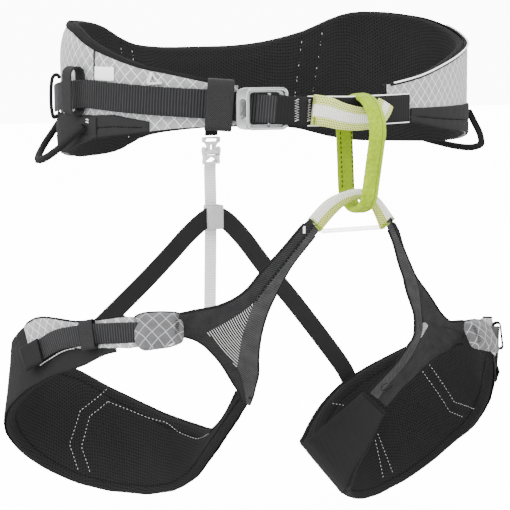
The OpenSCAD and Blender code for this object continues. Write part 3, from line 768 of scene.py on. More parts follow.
def clear_band(name, color):
    """Clear stretchy strap."""
    s = Shader(name, 0.3, specular=0.5)
    s.color(s.mix(s.noise(0.6, 3), shade(color, 0.9), color))
    s.put(s.math("MULTIPLY_ADD", s.wave(s.y, 1.6), 0.25, 0.35), s.bsdf.inputs["Alpha"])
    s.bump(s.noise(0.9, 2), 0.08)
    return s.mat


# the pad mesh's holes carry painted shade
MESH_BLACK = spacer("spacer_mesh", (0.0155, 0.0155, 0.016), hole=0.2, depth=0.35)
RIM_BLACK = woven("rim_mesh", (0.012, 0.012, 0.0125), 1.2, 0.3, 0.9, 0.0, 0.45)
SHELL_GREY = woven("smooth_shell", (0.015, 0.015, 0.0155), 0.6, 0.05, 0.8, 0.0, 0.85)
PANEL_GREY = woven("dark_panel", (0.019, 0.019, 0.0195), 0.7, 0.08, 0.8, 0.0, 0.8)
RIPSTOP = ripstop("grid_ripstop", (0.37, 0.37, 0.38), (0.97, 0.97, 0.98), 6.3)
POCKET_CLOTH = ripstop("pocket_ripstop", (0.11, 0.11, 0.114), (0.46, 0.46, 0.47), 6.6)
# ribbed webbings: their last two numbers set the painted highlight on the rib crests and the painted shade in the
# grooves
WEBBING = ribbed("belt_webbing", (0.0105, 0.0105, 0.011), 2.1, 0.8, 0.42, 0.0, 3.6, 0.06)
LEG_WEBBING = ribbed("leg_webbing", (0.0125, 0.0125, 0.013), 1.9, 0.7, 0.42, 0.0, 3.8, 0.06)
SMOOTH_WEB = ribbed("flat_webbing", (0.008, 0.008, 0.0085), 2.4, 0.12, 0.6, 0.0, 1.3, 0.8)
# the light and dark numbers here paint highlight on the weave lines and shade between them
ELASTIC = diagonal("dark_elastic", (0.0165, 0.0165, 0.017), 1.5, 0.35, 0.7, 2.6, 0.2)
RISER = woven("riser_elastic", (0.017, 0.017, 0.0175), 1.0, 0.15, 0.8, 0.0, 0.8)
PIPING = woven("dark_binding", (0.009, 0.009, 0.009), 0.8, 0.1, 0.85, 0.0)
THREAD = woven("white_thread", (0.8, 0.8, 0.78), 0.5, 0.05)
DARK_THREAD = woven("dark_thread", (0.005, 0.005, 0.005), 0.5, 0.05, 0.85, 0.0)
RIBBON = woven("pale_ribbon", (0.62, 0.62, 0.63), 0.6, 0.06, 0.7)
LABEL = woven("white_label", (0.92, 0.92, 0.91), 0.6, 0.06, 0.7)
# the knits' strong light and dark numbers paint highlight on the weave lines and shade between them
KNIT = diagonal("front_knit", (0.017, 0.017, 0.0175), 1.6, 0.25, 0.85, 2.6, 0.1, 0.0, 0.5)
INNER_KNIT = diagonal("inner_knit", (0.024, 0.024, 0.0245), 1.8, 0.3, 0.85, 3.6, 0.1, 0.0, 0.5)
NET_BACK = woven("net_backing", (0.009, 0.009, 0.0095), 0.9, 0.1, 0.85, 0.0)
NET = woven("light_net", (0.5, 0.5, 0.5), 0.6, 0.05)
# the third colour is painted shade for the belay loop's rear strand
LIME_PAINTED_REAR_SHADE = napped("lime_velvet_painted_rear_shade", (0.36, 0.5, 0.004), (0.17, 0.28, 0.001), (0.23, 0.33, 0.004))
LIME_DEEP = napped("lime_deep", (0.3, 0.45, 0.0), (0.2, 0.33, 0.0))
LIME_SEAM = woven("lime_seam", (0.16, 0.26, 0.002), 0.7, 0.1)
TIE_IN = striped("tie_in_webbing", (0.64, 0.7, 0.22), (0.16, 0.2, 0.01), (1.0, 0.99, 0.9), 4.2)
BRIDGE = striped("bridge_webbing", (0.52, 0.58, 0.14), (0.13, 0.17, 0.01), (0.95, 0.94, 0.82), 7.0, -7.2)
# a slight painted highlight on the ribs and painted shade between them
LIGHT_STRAP = ribbed("light_elastic", (0.85, 0.85, 0.85), 2.2, 0.25, 0.7, 0.0, 1.1, 0.8)
LIGHT_WEAVE = diagonal("light_keeper", (0.42, 0.42, 0.42), 1.8, 0.3, 0.8, 1.7, 0.45)
ALUMINIUM = metal("polished_aluminium", (0.42, 0.425, 0.43), 0.26)
PLASTIC = moulded("grey_plastic", (0.72, 0.72, 0.73))
CORD_BLACK = diagonal("black_cord", (0.01, 0.01, 0.0105), 0.9, 0.15)
LOOP_COVER = diagonal("gear_loop_cover", (0.0135, 0.0135, 0.014), 1.2, 0.2)
CLEAR = clear_band("clear_band", (0.9, 0.9, 0.88))


# ---- Waist belt ----
def waist_low(t):
    return float(soft(t, WAIST_BOTTOM))


def waist_high(t):
    return float(soft(t, WAIST_TOP))


def waist_thick(t):
    return 9 * float(look(t, [(29, 0.5), (60, 1), (315, 1), (348, 0.5)]))


LINER_SEAMS = [(152, 148), (157, 153), (208, 212), (213, 219)]


def waist_seam_t(seam, share):
    """Angle of a vertical seam on the liner at a share of the belt's height."""
    return seam[0] + (seam[1] - seam[0]) * share


def waist_pad():
    ts = np.arange(29.5, 348.6, 0.6)
    rings, v = [], []
    for t in ts:
        low, high = waist_low(t) + 0.3, waist_high(t) - 0.2
        thick = waist_thick(t) - 1.5
        ring = pad_ring(low, high, -1.9, thick, 1.5, 18)
        share = (ring[:, 1] - low) / (high - low)
        inside = ring[:, 0] < -1.9 - thick * 0.6
        dip = sum(bell(t - waist_seam_t(s, share), 0.35) for s in LINER_SEAMS) * 1.0
        rim = bell(ring[:, 1] - (low + 6), 1.3) + bell(ring[:, 1] - (high - 6), 1.3)
        ring[:, 0] += np.where(inside, dip + 0.9 * rim, 0)
        rings.append(belt(np.full(len(ring), t), ring[:, 1], ring[:, 0]))
        steps = np.linalg.norm(np.diff(np.vstack([ring, ring[:1]]), axis=0), axis=1)
        v.append(np.concatenate([[0], np.cumsum(steps)]))
    u = lengths(belt(ts, 0, -6))
    pad = Build().loft(rings, u, v).done("waist_pad", MESH_BLACK, "waist", 60)
    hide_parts("waist_pad_liner")
    return pad


def belt_line(t0, t1, z, off, step=0.5):
    ts = np.linspace(t0, t1, max(3, int(abs(t1 - t0) / step)))
    z = z(ts) if callable(z) else np.full(len(ts), float(z))
    return belt(ts, z, off)


def liner_seams():
    """Dashed seams down the inside of the belt."""
    routes = []
    for seam in LINER_SEAMS:
        share = np.linspace(0.08, 0.92, 24)
        t = waist_seam_t(seam, share)
        low, high = soft(t, WAIST_BOTTOM) + 0.3, soft(t, WAIST_TOP) - 0.2
        off = -1.9 - (9 - 1.5) - 1.5 * (1 - (2 * share - 1) ** 4) + 0.85
        routes.append(belt(t, low + (high - low) * share, off))
    s = stitches("waist_liner_stitches", routes, THREAD, "waist", 1.5, 1.6, 0.2)


def cover_top(t):
    """The outer fabric ends a little below the padding's rim on the hips."""
    return waist_high(t) - float(look(t, [(29, 0.5), (60, 1), (75, 2), (130, 2), (150, 1), (220, 1.5), (348, 0.5)]))


def wrinkle(t, z):
    return 0.45 * np.sin(t * 0.9 + z * 0.08) * np.sin(z * 0.21 + t * 0.33) + 0.3 * np.sin(t * 2.1 - z * 0.12)


def waist_cover():
    def shape(t, z):
        ends = min(1, (t - 29) / 6, (348 - t) / 6)
        mid = 1 - ((z - waist_low(t)) / (waist_high(t) - waist_low(t)) * 2 - 1) ** 4
        return max(ends, 0) * mid * (0.2 + 0.35 * wrinkle(t, z)) * 0.9 - 0.45
    cover = patch(
        "waist_cover", np.arange(29, 348.1, 1.5), lambda t: waist_low(t) + 1, cover_top, -1.5, 0,
        belt, RIPSTOP, "waist", 15, shape,
    )
    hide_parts("waist_shell")


def lower_panel():
    high = [(54, -7), (66, -3), (110, -8), (250, -8), (295, -4), (345, -1)]

    def shape(t, z):
        seam = bell(z - (waist_low(t) * 0.55 + float(look(t, high)) * 0.45), 0.8)
        return 0.25 * np.sin(t * 1.3 + z * 0.2) - 0.5 * seam
    panel = patch(
        "waist_lower_cover", np.arange(54, 339.1, 1.5), lambda t: waist_low(t) + 0.8,
        lambda t: float(look(t, high)), -0.3, 1.25, belt, PANEL_GREY, "waist", 15, shape,
    )
    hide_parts("waist_lower_panel")
    line = belt_line(56, 337, lambda t: soft(t, WAIST_BOTTOM) * 0.55 + look(t, high) * 0.45, 0.95)
    s = stitches("lower_cover_seam", [line], DARK_THREAD, "waist", 2.4, 0.5, 0.32)


def belt_trim():
    """Rim mesh along the top edge, panel seams and the white edge on the wearer's left."""
    ts = np.arange(31, 347, 1.0)
    rim = Build()
    rings = []
    for t in ts:
        top, edge = waist_high(t), cover_top(t)
        lip = [(-2.4, top + 0.1), (-1.2, top + 0.5), (-0.1, top - 0.3), (0.15, edge - 0.8), (-0.5, edge - 1.4), (-1.9, top - 1.8)]
        lip = np.array(lip)
        rings.append(belt(np.full(len(lip), t), lip[:, 1], lip[:, 0]))
    rim.loft(rings, lengths(belt(ts, 0, 0)), [0, 1, 2.5, 4.5, 5, 7, 8])
    r = rim.done("waist_rim_mesh", RIM_BLACK, "waist", 70)
    for k, (t, z0) in enumerate(((74.5, 20), (286, 14), (228, -4), (132, -4))):
        z = np.linspace(z0, cover_top(t) - 0.5, 14)
        off = np.array([0.1 + 0.35 * float(wrinkle(t, q)) * 0.4 for q in z])
        seam = ribbon(f"panel_seam_{k}", belt(np.full(14, t), z, off), belt(t, 0, 1) - belt(t, 0, 0), 1.1, 0.5, PIPING, "waist")
    piping = tube(
        "waist_piping", [belt_line(270, 345, lambda t: soft(t, WAIST_TOP) + 0.2, 0.3)], 0.65, LABEL, "waist", 8
    )
    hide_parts("waist_edge_piping")


def label_and_ribbon():
    label = patch(
        "waist_label", np.arange(66, 74.1, 1), lambda t: 20.5, lambda t: 30.0, 0.2, 0.75, belt, LABEL, "waist", 6,
        lambda t, z: 0.15 * np.sin(z * 0.7 + t),
    )
    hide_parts("size_label")
    # narrow ribbon folded like a flat Z
    fold = [(54.2, 19), (53.6, 23), (52.9, 27.2), (51.5, 20), (50.3, 20.5), (52.6, 19.4)]
    route = smooth([belt(t, z, 1.0 + 0.25 * i) for i, (t, z) in enumerate(fold[:3])], 4)
    out = belt(52, 0, 1) - belt(52, 0, 0)
    b = Build()
    ribbon("", route, out, 2.6, 0.5, LABEL, None, build=b)
    route = smooth([belt(t, z, 1.3 + 0.1 * i) for i, (t, z) in enumerate([(52.8, 26.6), (51.6, 22.5), (50.2, 20.2)])], 4)
    ribbon("", route, out, 1.4, 0.4, LABEL, None, build=b)
    route = smooth([belt(t, z, 1.2) for t, z in [(54.2, 19.2), (52, 19.6), (49.8, 19.9)]], 4)
    ribbon("", route, out, 1.8, 0.5, LABEL, None, build=b)
    z = b.done("belt_ribbon", RIBBON, "waist")
    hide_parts("folded_ribbon")


def webbing_route(t0, t1, step=0.8, lift=0.0):
    ts = np.arange(t0, t1 + 0.01, step)
    return belt(ts, soft(ts, WEBBING_Z, 2), soft(ts, WEBBING_OFF, 1) + 0.8 + lift), ts


def front_webbing():
    route, ts = webbing_route(-20, 106)
    out = unit(belt(ts, 0, 1) - belt(ts, 0, 0))
    tail = ts > 24
    b = Build()
    ribbon("", route[tail], out[tail], 20, 1.6, WEBBING, None, build=b)
    w = b.done("waist_webbing_tail", WEBBING, "waist")
    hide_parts("front_webbing")
    # the webbing comes up through the buckle, rolls over its bar and runs on to the tie-in point
    roll = [(26.2, 1.6), (24.6, 3.8), (22.8, 7.0), (21, 8.4), (19.4, 8.3), (18.4, 7.2)]
    pts = smooth([belt(t, float(soft(t, WEBBING_Z, 2)), off) for t, off in roll], 5)
    over = ribbon("waist_webbing_roll", pts, belt(21, 0, 1) - belt(21, 0, 0), 19.4, 1.6, LEG_WEBBING, "waist", u0=3)
    front = ts <= 21
    lift = np.array([0.9 * float(look(t, [(-20, 0), (9, 0), (11, 1.2), (20, 1.4)])) for t in ts[front]])
    r2 = route[front] + out[front] * lift[:, None]
    flat = ribbon("waist_webbing_front", r2, out[front], 20, 1.6, SMOOTH_WEB, "waist")
    b = Build()
    for t in (14.5, 11.1):
        base = float(soft(t, WEBBING_OFF, 1)) + 1.6 + 0.9 * float(look(t, [(9, 0), (11, 1.2), (20, 1.4)])) + 0.2
        z = float(soft(t, WEBBING_Z, 2))
        across = belt(t - 0.5, z, base) - belt(t + 0.5, z, base)
        tube_into(b, zigzag(belt(t, z - 7, base), belt(t, z + 8, base), across, 17), 0.24, 5)
    tack = b.done("front_bartacks", THREAD, "waist")
    edge = []
    for side in (-1, 1):
        shift = np.array([0, 0, 10.0 * side])
        edge.append(r2[ts[front] < 12] + shift)
    rims = tube("front_webbing_edges", edge, 0.55, LABEL, "waist", 6)


def keepers():
    mid_z = (waist_low(34) + waist_high(34)) / 2
    m = at_belt(34, mid_z, -1.0) @ Matrix.Rotation(math.radians(-4), 4, "Z")
    half = (waist_high(34) - waist_low(34)) / 2 + 1.6
    band = sleeve("elastic_keeper_band", m, half, 7.4, 4.0, 18.5, 1.4, ELASTIC, "waist", n=7)
    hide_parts("elastic_keeper")
    m = at_belt(81.5, 12.5, 6.4)
    ring = sleeve("rear_keeper_band", m, 16.5, 5.6, 5, 10.5, 1.6, ELASTIC, "waist", n=9)
    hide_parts("rear_keeper")
    knots = [
        (3.9, -12.8), (6.4, -14.6), (7.9, -9), (8.3, 0), (7.9, 9), (6.6, 14.6), (3.6, 16), (1.7, 13.5),
    ]
    pts = smooth([belt(99, 6 + z, off) for off, z in knots], 5)
    loop = tube("side_cord_loop", [pts], 1.35, LOOP_COVER, "waist", 10)
    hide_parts("side_loop")


GEAR_KNOTS = {
    -1: [(77, -12, 5), (80, -18, 8), (86, -29, 14), (94, -37, 17), (104, -39, 17), (114, -32, 14), (121, -19, 8), (124, -12, 5)],
    1: [
        (77, -12, 5), (78, -20, 10), (81, -31, 18), (86, -40, 24), (94, -44, 25), (104, -42, 21), (114, -35, 15), (121, -20, 8),
        (124, -12, 5),
    ],
}


def gear_side(side):
    """Hip reinforcement and the gear loop that comes out of it."""
    name = SIDE_NAME[side]

    def place(t, z, off):
        p = belt(t, z, off)
        return stack(-side * p[..., 0], p[..., 1], p[..., 2])
    low = [(73, -19), (92, -33), (111, -33)]

    def shape(t, z):
        s = (t - 73) / 38
        puff = 2.2 * math.sin(math.pi * min(max(s, 0), 1)) * np.sin(np.pi * np.clip((z + 33) / 29, 0, 1))
        return puff - 0.6 * bell(z + 19 + 0.1 * (t - 90), 0.7)
    hip = patch(
        f"{name}_hip_cover", np.arange(73, 111.1, 1), lambda t: float(look(t, low)), lambda t: -5.2, 0.9, 2.2, place,
        PANEL_GREY, "waist", 17, shape,
    )
    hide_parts(f"{name}_hip_patch")
    ts = np.arange(75, 110, 0.8)
    seam = np.array([place(np.array([t]), np.array([-19 - 0.1 * (t - 90)]), np.array([2.2 + shape(t, np.array([-19 - 0.1 * (t - 90)]))[0] - 0.1]))[0] for t in ts])
    s = stitches(f"{name}_hip_seam", [seam], DARK_THREAD, "waist", 2.4, 0.5, 0.3)
    pts = smooth([place(*[np.array([float(c)]) for c in k])[0] for k in GEAR_KNOTS[side]], 8)
    b = Build()
    tube_into(b, pts, 2.6, 14)
    bar = b.done(f"{name}_gear_loop_bar", LOOP_COVER, f"{name}_gear")
    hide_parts(f"{name}_gear_loop")
    along = unit(np.gradient(pts, axis=0))
    middle = pts.mean(axis=0)
    outward = unit(pts - middle)
    outward = unit(outward - (outward * along).sum(axis=1)[:, None] * along)
    line = pts + outward * 2.55
    welt = tube(f"{name}_gear_loop_welt", [line], 0.5, CORD_BLACK, f"{name}_gear", 6)
    ends = []
    for t in (76.6, 124.4):
        for z in (-9.2, -7.4):
            p = place(np.array([t - 0.5]), np.array([z]), np.array([2.9]))[0]
            q = place(np.array([t + 0.5]), np.array([z + 0.3]), np.array([2.9]))[0]
            ends.append(np.linspace(p, q, 4))
    dots = tube(f"{name}_gear_bartacks", ends, 0.5, THREAD, "waist", 6)


# ---- Waist buckle ----
def waist_buckle():
    m = at_belt(23.4, 2.5, 2.6)

    def lifted(z):
        return m @ Matrix.Translation((0, 0, z * MM))
    window = rounded(21.5, 22.4, 3.0, 3.25)
    frame_plate = plate("waist_buckle_plate", [rounded(34, 29, 7), window], 2.4, 0.7, lifted(1.3), ALUMINIUM, "waist", 4)
    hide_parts("waist_buckle_frame")
    bar = plate(
        "waist_buckle_grip", [rounded(9.5, 28, 4.2, -12.2), rounded(4, 13.5, 1.95, -12.4)], 1.4, 0.5, lifted(2.9),
        ALUMINIUM, "waist", 4,
    )
    floor = plate("waist_buckle_recess", [rounded(5, 14.5, 2.4, -12.4)], 0.6, 0.1, lifted(2.2), ALUMINIUM, "waist", 2)
    inner = [(x, y, 3.4) for x, y in rounded(27, 26.6, 3.2, 4.4, 0, 9)]
    ring = tube("waist_buckle_loop", [local(m, inner)], 1.35, ALUMINIUM, "waist", 12, loop=True)
    roller = [(6, y, 2.8) for y in np.linspace(-10.6, 10.6, 9)]
    slide = tube("waist_buckle_roller", [local(m, roller)], 1.3, ALUMINIUM, "waist_slider", 12)
    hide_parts("waist_buckle_slider")


# ---- Centre ----
def tie_in():
    knots = [
        (-29, -118.6, 1), (-19, -120, -0.5), (-8, -120.8, -3.8), (4, -121, -6), (13, -121, -6.4), (20.5, -121, -6.5),
        (26.5, -120, -1.5), (30, -118.5, 4),
    ]
    route = smooth(knots, 6)
    width = smooth([(w, 0, 0) for w in (21.5, 21, 19, 17, 15.5, 14.5, 14, 14)], 6)[:, 0]
    s = ribbon("tie_in_cover", route, (0, -1, 0), width, 3.2, TIE_IN, "waist", SOFT)
    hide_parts("tie_in_sleeve")
    ends = []
    for z0, z1 in ((-9.2, -3.6), (5.4, 11.0)):
        ends.append(zigzag((-28.6, -120.5, z0), (-28.6, -120.5, z1), (2.2, -0.2, 0), 14))
    tack = tube("tie_in_bartacks", ends, 0.3, LIME_DEEP, "waist", 5)


def belay():
    x, y = 13, -113
    top, bottom, r, foot = 6, -68.8, 20, 14
    grow = 2.5
    c0, c1 = top - r, bottom + foot
    tilt = math.asin((r - foot) / (c0 - c1))
    line = []
    for a in np.linspace(-tilt, math.pi + tilt, 40):
        line.append((math.cos(a) * (r + grow), c0 + math.sin(a) * (r + grow)))
    for a in np.linspace(math.pi + tilt, 2 * math.pi - tilt, 30):
        line.append((3 + math.cos(a) * (foot + grow), c1 + math.sin(a) * (foot + grow)))
    line = np.array(line)
    line[:, 0] *= 1 + 0.04 * bell(line[:, 1] + 30, 25)
    keep = [line[0]]
    for p in line[1:]:
        steps = max(1, int(np.linalg.norm(p - keep[-1]) / 2.5))
        keep += [keep[-1] + (p - keep[-1]) * k / steps for k in range(1, steps + 1)]
    line = np.array(keep)
    if np.linalg.norm(line[0] - line[-1]) < 1:
        line = line[:-1]
    route = np.stack([np.full(len(line), x), y + line[:, 0], line[:, 1]], axis=1)
    centre = np.array([x, y, -30.0])
    along = unit(np.roll(route, -1, 0) - np.roll(route, 1, 0))
    facing = np.cross(along, np.array([1.0, 0, 0]))
    facing *= np.sign(((route - centre) * facing).sum(axis=1))[:, None]
    rings = ribbon_rings(route, facing, 13, 5, SOFT, True)
    v = [p[0] * 6.5 for p in SOFT] + [SOFT[0][0] * 6.5]
    b = Build()
    b.loft(rings, lengths(np.vstack([route, route[:1]])), v, loop=True)
    # the loop's material paints shade on its rear strand
    loop = b.done("belay_loop_strand", LIME_PAINTED_REAR_SHADE, "belay", 80)
    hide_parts("belay_loop")
    welt = tube("belay_loop_seam", [route + facing * 2.2 + np.array([2.6, 0, 0])], 0.5, LIME_SEAM, "belay", 6, loop=True)
    rear = [p for p in route if p[1] > y + 8 and -58 < p[2] < -10]
    rear = np.array(rear)
    lines = [rear + np.array([dx, -2.6, 0]) for dx in (-4.6, 4.6)]
    order = [q[np.argsort(q[:, 2])] for q in lines]
    d = stitches("belay_loop_stitches", order, DARK_THREAD, "belay", 2.2, 1.2, 0.32)


BRIDGE_ROUTE = [
    (-24, -112, -80.5), (-11, -112, -68.5), (2, -112, -62), (14, -112, -60.5), (25, -112, -66), (36.5, -112, -83),
]
BRIDGE_WIDTH = [14, 13, 9, 8, 9, 14]


def bridge():
    route = smooth(BRIDGE_ROUTE, 8)
    width = smooth([(w, 0, 0) for w in BRIDGE_WIDTH], 8)[:, 0]
    s = ribbon("bridge_cover", route, (0, -1, 0), width, 3.6, BRIDGE, "waist", SOFT)
    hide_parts("bridge_sleeve")
    band = patch(
        "bridge_clear_band", np.linspace(-16, 36, 27), lambda t: -87.0, lambda t: -83.5, 109.5, 108.5,
        lambda t, z, off: stack(t, -np.asarray(off) - 0.0 * t, z), CLEAR, "waist", 5,
    )
    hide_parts("bridge_band")
    ends = []
    for end, nxt, w in ((route[1], route[6], width[1]), (route[-2], route[-8], width[-2])):
        along = unit(nxt - end)
        across = np.cross(along, (0, -1, 0))
        a = end + np.array([0, -2.0, 0]) + across * w * 0.42
        c = end + np.array([0, -2.0, 0]) - across * w * 0.42
        ends.append(zigzag(a, c, along * 2.4, 16))
    tack = tube("bridge_bartacks", ends, 0.36, LIME_DEEP, "waist", 5)


# ---- Drop seat ----
DROP_X, DROP_Y = 12, 118


def drop_seat():
    tab = ribbon(
        "drop_tab_web", np.linspace((DROP_X, 117.5, -16), (DROP_X, 117.5, -35.8), 12), (0, 1, 0), 11.6, 1.2, SMOOTH_WEB, "waist",
    )
    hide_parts("drop_tab")
    m = axes(np.array([DROP_X, DROP_Y, -44.0]), np.array([1.0, 0, 0]), np.array([0, -1.0, 0]))
    body = [
        (-7.2, 7), (7.2, 7), (7.2, 3.2), (4.6, 1.8), (3.5, -0.4), (3.8, -3.2), (5.2, -5.4), (7.2, -6.4), (7.2, -7), (-7.2, -7),
        (-7.2, -6.4), (-5.2, -5.4), (-3.8, -3.2), (-3.5, -0.4), (-4.6, 1.8), (-7.2, 3.2),
    ]
    slot = rounded(11.4, 2.6, 1.1, 0, 4.6)
    keep = rounded(3.4, 4.6, 1.2, 0, -1.2)
    p = plate("drop_buckle_socket", [body, slot, keep], 5.6, 0.7, m, PLASTIC, "waist", 3)
    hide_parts("drop_buckle_female")
    m = axes(np.array([DROP_X, DROP_Y, -55.0]), np.array([1.0, 0, 0]), np.array([0, -1.0, 0]))
    fork = [
        (-7.0, -3.6), (7.0, -3.6), (7.4, -1.6), (7.0, 1.6), (8.0, 6.5), (7.8, 9.6), (6.4, 10.4), (5.2, 9.0), (5.6, 6.0), (4.4, 3.4),
        (-4.4, 3.4), (-5.6, 6.0), (-5.2, 9.0), (-6.4, 10.4), (-7.8, 9.6), (-8.0, 6.5), (-7.0, 1.6), (-7.4, -1.6),
    ]
    slot = [(-5.2, -1.9), (5.2, -1.9), (5.2, -1.0), (0.8, 2.0), (-0.8, 2.0), (-5.2, -1.0)]
    q = plate("drop_buckle_fork", [fork, slot], 4.2, 0.7, m, PLASTIC, "drop_release", 3)
    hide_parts("drop_buckle_male")
    route = smooth([(12.6, 119, -57.5), (13, 122.2, -62), (13.5, 122.2, -90), (13.5, 122.2, -112), (12, 121, -186)], 8)
    strap = ribbon("drop_strap_web", route, (0, 1, 0), 10.6, 1.2, LIGHT_STRAP, "drop_release")
    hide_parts("drop_strap")
    m = axes(np.array([DROP_X + 2.6, DROP_Y + 1.2, -101.5]), np.array([0, 0, 1.0]), np.array([0, -1.0, 0]))
    band = sleeve("riser_keeper_band", m, 6.6, 6, 3, 19, 1.2, LIGHT_WEAVE, "waist", n=6)
    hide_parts("riser_keeper")


RISER_ROUTE = {
    -1: [(13.5, 118, -99), (3, 117, -104.5), (-11, 116, -115), (-26, 114, -128), (-46, 112, -145), (-66, 112, -162), (-88, 115, -182), (-108, 120.5, -202), (-120, 122.5, -218)],
    1: [(15.5, 118, -99.5), (26, 117, -105.5), (41, 116, -121), (59, 115, -144), (86, 115, -175), (113, 117, -207), (137, 120.5, -236), (146, 122.5, -252)],
}


def riser(side):
    name = SIDE_NAME[side]
    route = smooth(RISER_ROUTE[side], 6)
    strap = ribbon(f"{name}_riser_web", route, (0, 1, 0), 15, 1.5, RISER, None)
    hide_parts(f"{name}_riser")
    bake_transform(strap)


# ---- Leg loops ----
def leg_thick(t):
    return 8 * float(look(t, [(30, 0.5), (60, 1), (280, 1), (313, 0.4)]))


def leg_pad(side):
    name = SIDE_NAME[side]
    place = leg_place(side)
    ts = np.arange(30.5, 312.6, 0.7)
    rings, v = [], []
    for t in ts:
        h = float(leg_height(side, t)) - 1
        thick = leg_thick(t) - 1.2
        ring = pad_ring(0, h, -1.9, thick, 1.2, 18)
        inside = ring[:, 0] < -1.9 - thick * 0.6
        rim = bell(ring[:, 1] - 8.5, 1.0) + bell(ring[:, 1] - (h - 7), 1.0)
        ring[:, 0] += np.where(inside, 1.3 * rim, 0)
        rings.append(place(np.full(len(ring), t), ring[:, 1], ring[:, 0]))
        steps = np.linalg.norm(np.diff(np.vstack([ring, ring[:1]]), axis=0), axis=1)
        v.append(np.concatenate([[0], np.cumsum(steps)]))
    u = lengths(leg(side, ts, 0.5, -5))
    pad = Build().loft(rings, u, v).done(f"{name}_leg_cushion", MESH_BLACK, f"{name}_leg", 60)
    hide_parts(f"{name}_leg_pad")


def leg_inside(side, t, h):
    """Point on the pad's inner face."""
    t, h = np.asarray(t, float), np.asarray(h, float)
    thick = np.array([leg_thick(q) for q in np.atleast_1d(t)]) - 1.2
    total = leg_height(side, t) - 1
    share = 2 * h / total - 1
    off = -1.9 - thick - 1.2 * (1 - share**4) - 0.1
    return leg_place(side)(t, h, off)


LEG_STITCHES = {
    -1: [
        [(194, 82), (178, 58), (172, 28), (176, 11)], [(194, 72), (183, 56), (178, 30), (182, 12)],
        [(194, 72), (233, 60), (277, 24)],
    ],
    1: [
        [(130, 71), (119, 28), (100, 6)], [(135, 72), (124, 24), (115, 12)], [(164, 50), (159, 11)],
        [(166, 46), (165, 12)], [(190, 83), (181, 80)], [(215, 59), (185, 74)],
    ],
}


def leg_liner_stitches(side):
    name = SIDE_NAME[side]
    routes = []
    for knots in LEG_STITCHES[side]:
        k = np.linspace(0, len(knots) - 1, 18 * len(knots))
        t, h = (np.interp(k, range(len(knots)), [q[c] for q in knots]) for c in (0, 1))
        routes.append(leg_inside(side, t, h))
    rows = stitches(f"{name}_liner_stitches", routes, THREAD, f"{name}_leg", 1.5, 1.6, 0.17)
    rims = []
    for inset in (8, 9.6):
        ts = np.arange(34, 308, 1.0)
        h = np.full(len(ts), inset) if inset < 9 else leg_height(side, ts) - 8
        rims.append(leg_inside(side, ts, h) * 1.0)
    rim = stitches(f"{name}_liner_rim", rims, DARK_THREAD, f"{name}_leg", 2.4, 0.9, 0.3)


def leg_cover(side):
    name = SIDE_NAME[side]
    place = leg_place(side)

    def shape(t, z):
        h = float(leg_height(side, t))
        seam = bell(z - (h - 7.5), 0.7)
        return 0.16 * np.sin(t * 0.41 + z * 0.11) + 0.12 * np.sin(t * 1.13 - z * 0.2) - 0.4 - 0.5 * seam
    shell = patch(
        f"{name}_leg_cover", np.arange(30, 313.1, 1.5), lambda t: 0.4, lambda t: float(leg_height(side, t)) - 0.2, -1.5, 0.0,
        place, SHELL_GREY, f"{name}_leg", 33, shape,
    )
    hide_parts(f"{name}_leg_shell")
    low = [(15, 0.12), (22, 0.06), (36, 0.2), (60, 0.45), (92, 0.5)]
    panel = patch(
        f"{name}_leg_tongue", np.arange(15.5, 92.1, 1.5), lambda t: float(leg_height(side, t) * look(t, low)),
        lambda t: float(leg_height(side, t)) * min(1, 0.9 + 0.01 * (t - 15)) - 0.3, -0.2, 0.95, place, RIPSTOP, f"{name}_leg", 9,
        lambda t, z: 0.2 * np.sin(t * 1.1 + z * 0.3) * min(1, (t - 15.5) / 6) * min(1, (92 - t) / 6),
    )
    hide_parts(f"{name}_leg_panel")
    ts = np.arange(24, 90, 1.0)
    edge = place(ts, leg_height(side, ts) - 0.2, 0.6)
    bind = tube(f"{name}_tongue_binding", [edge], 0.7, PIPING, f"{name}_leg", 8)
    ts = np.arange(56, 88, 1.0)
    row = place(ts, leg_height(side, ts) * soft(ts, LEG_WEB_MID) - 8.7, 1.25)
    line = stitches(f"{name}_tongue_stitches", [row], THREAD, f"{name}_leg", 2.2, 0.5, 0.4)


POCKET = {
    -1: [(-17.8, 14.4), (-11.6, 16.4), (2, 17.2), (15, 17.2), (16.8, 10), (17.8, -5), (7.4, -10), (-10.7, -13), (-16.6, -7), (-17.4, 4)],
    1: [(-18.6, 14), (-2, 14.6), (14.4, 13.4), (17, 6), (18.6, -4), (15.6, -14.4), (-4, -12), (-20.4, -8.4), (-20, 4)],
}


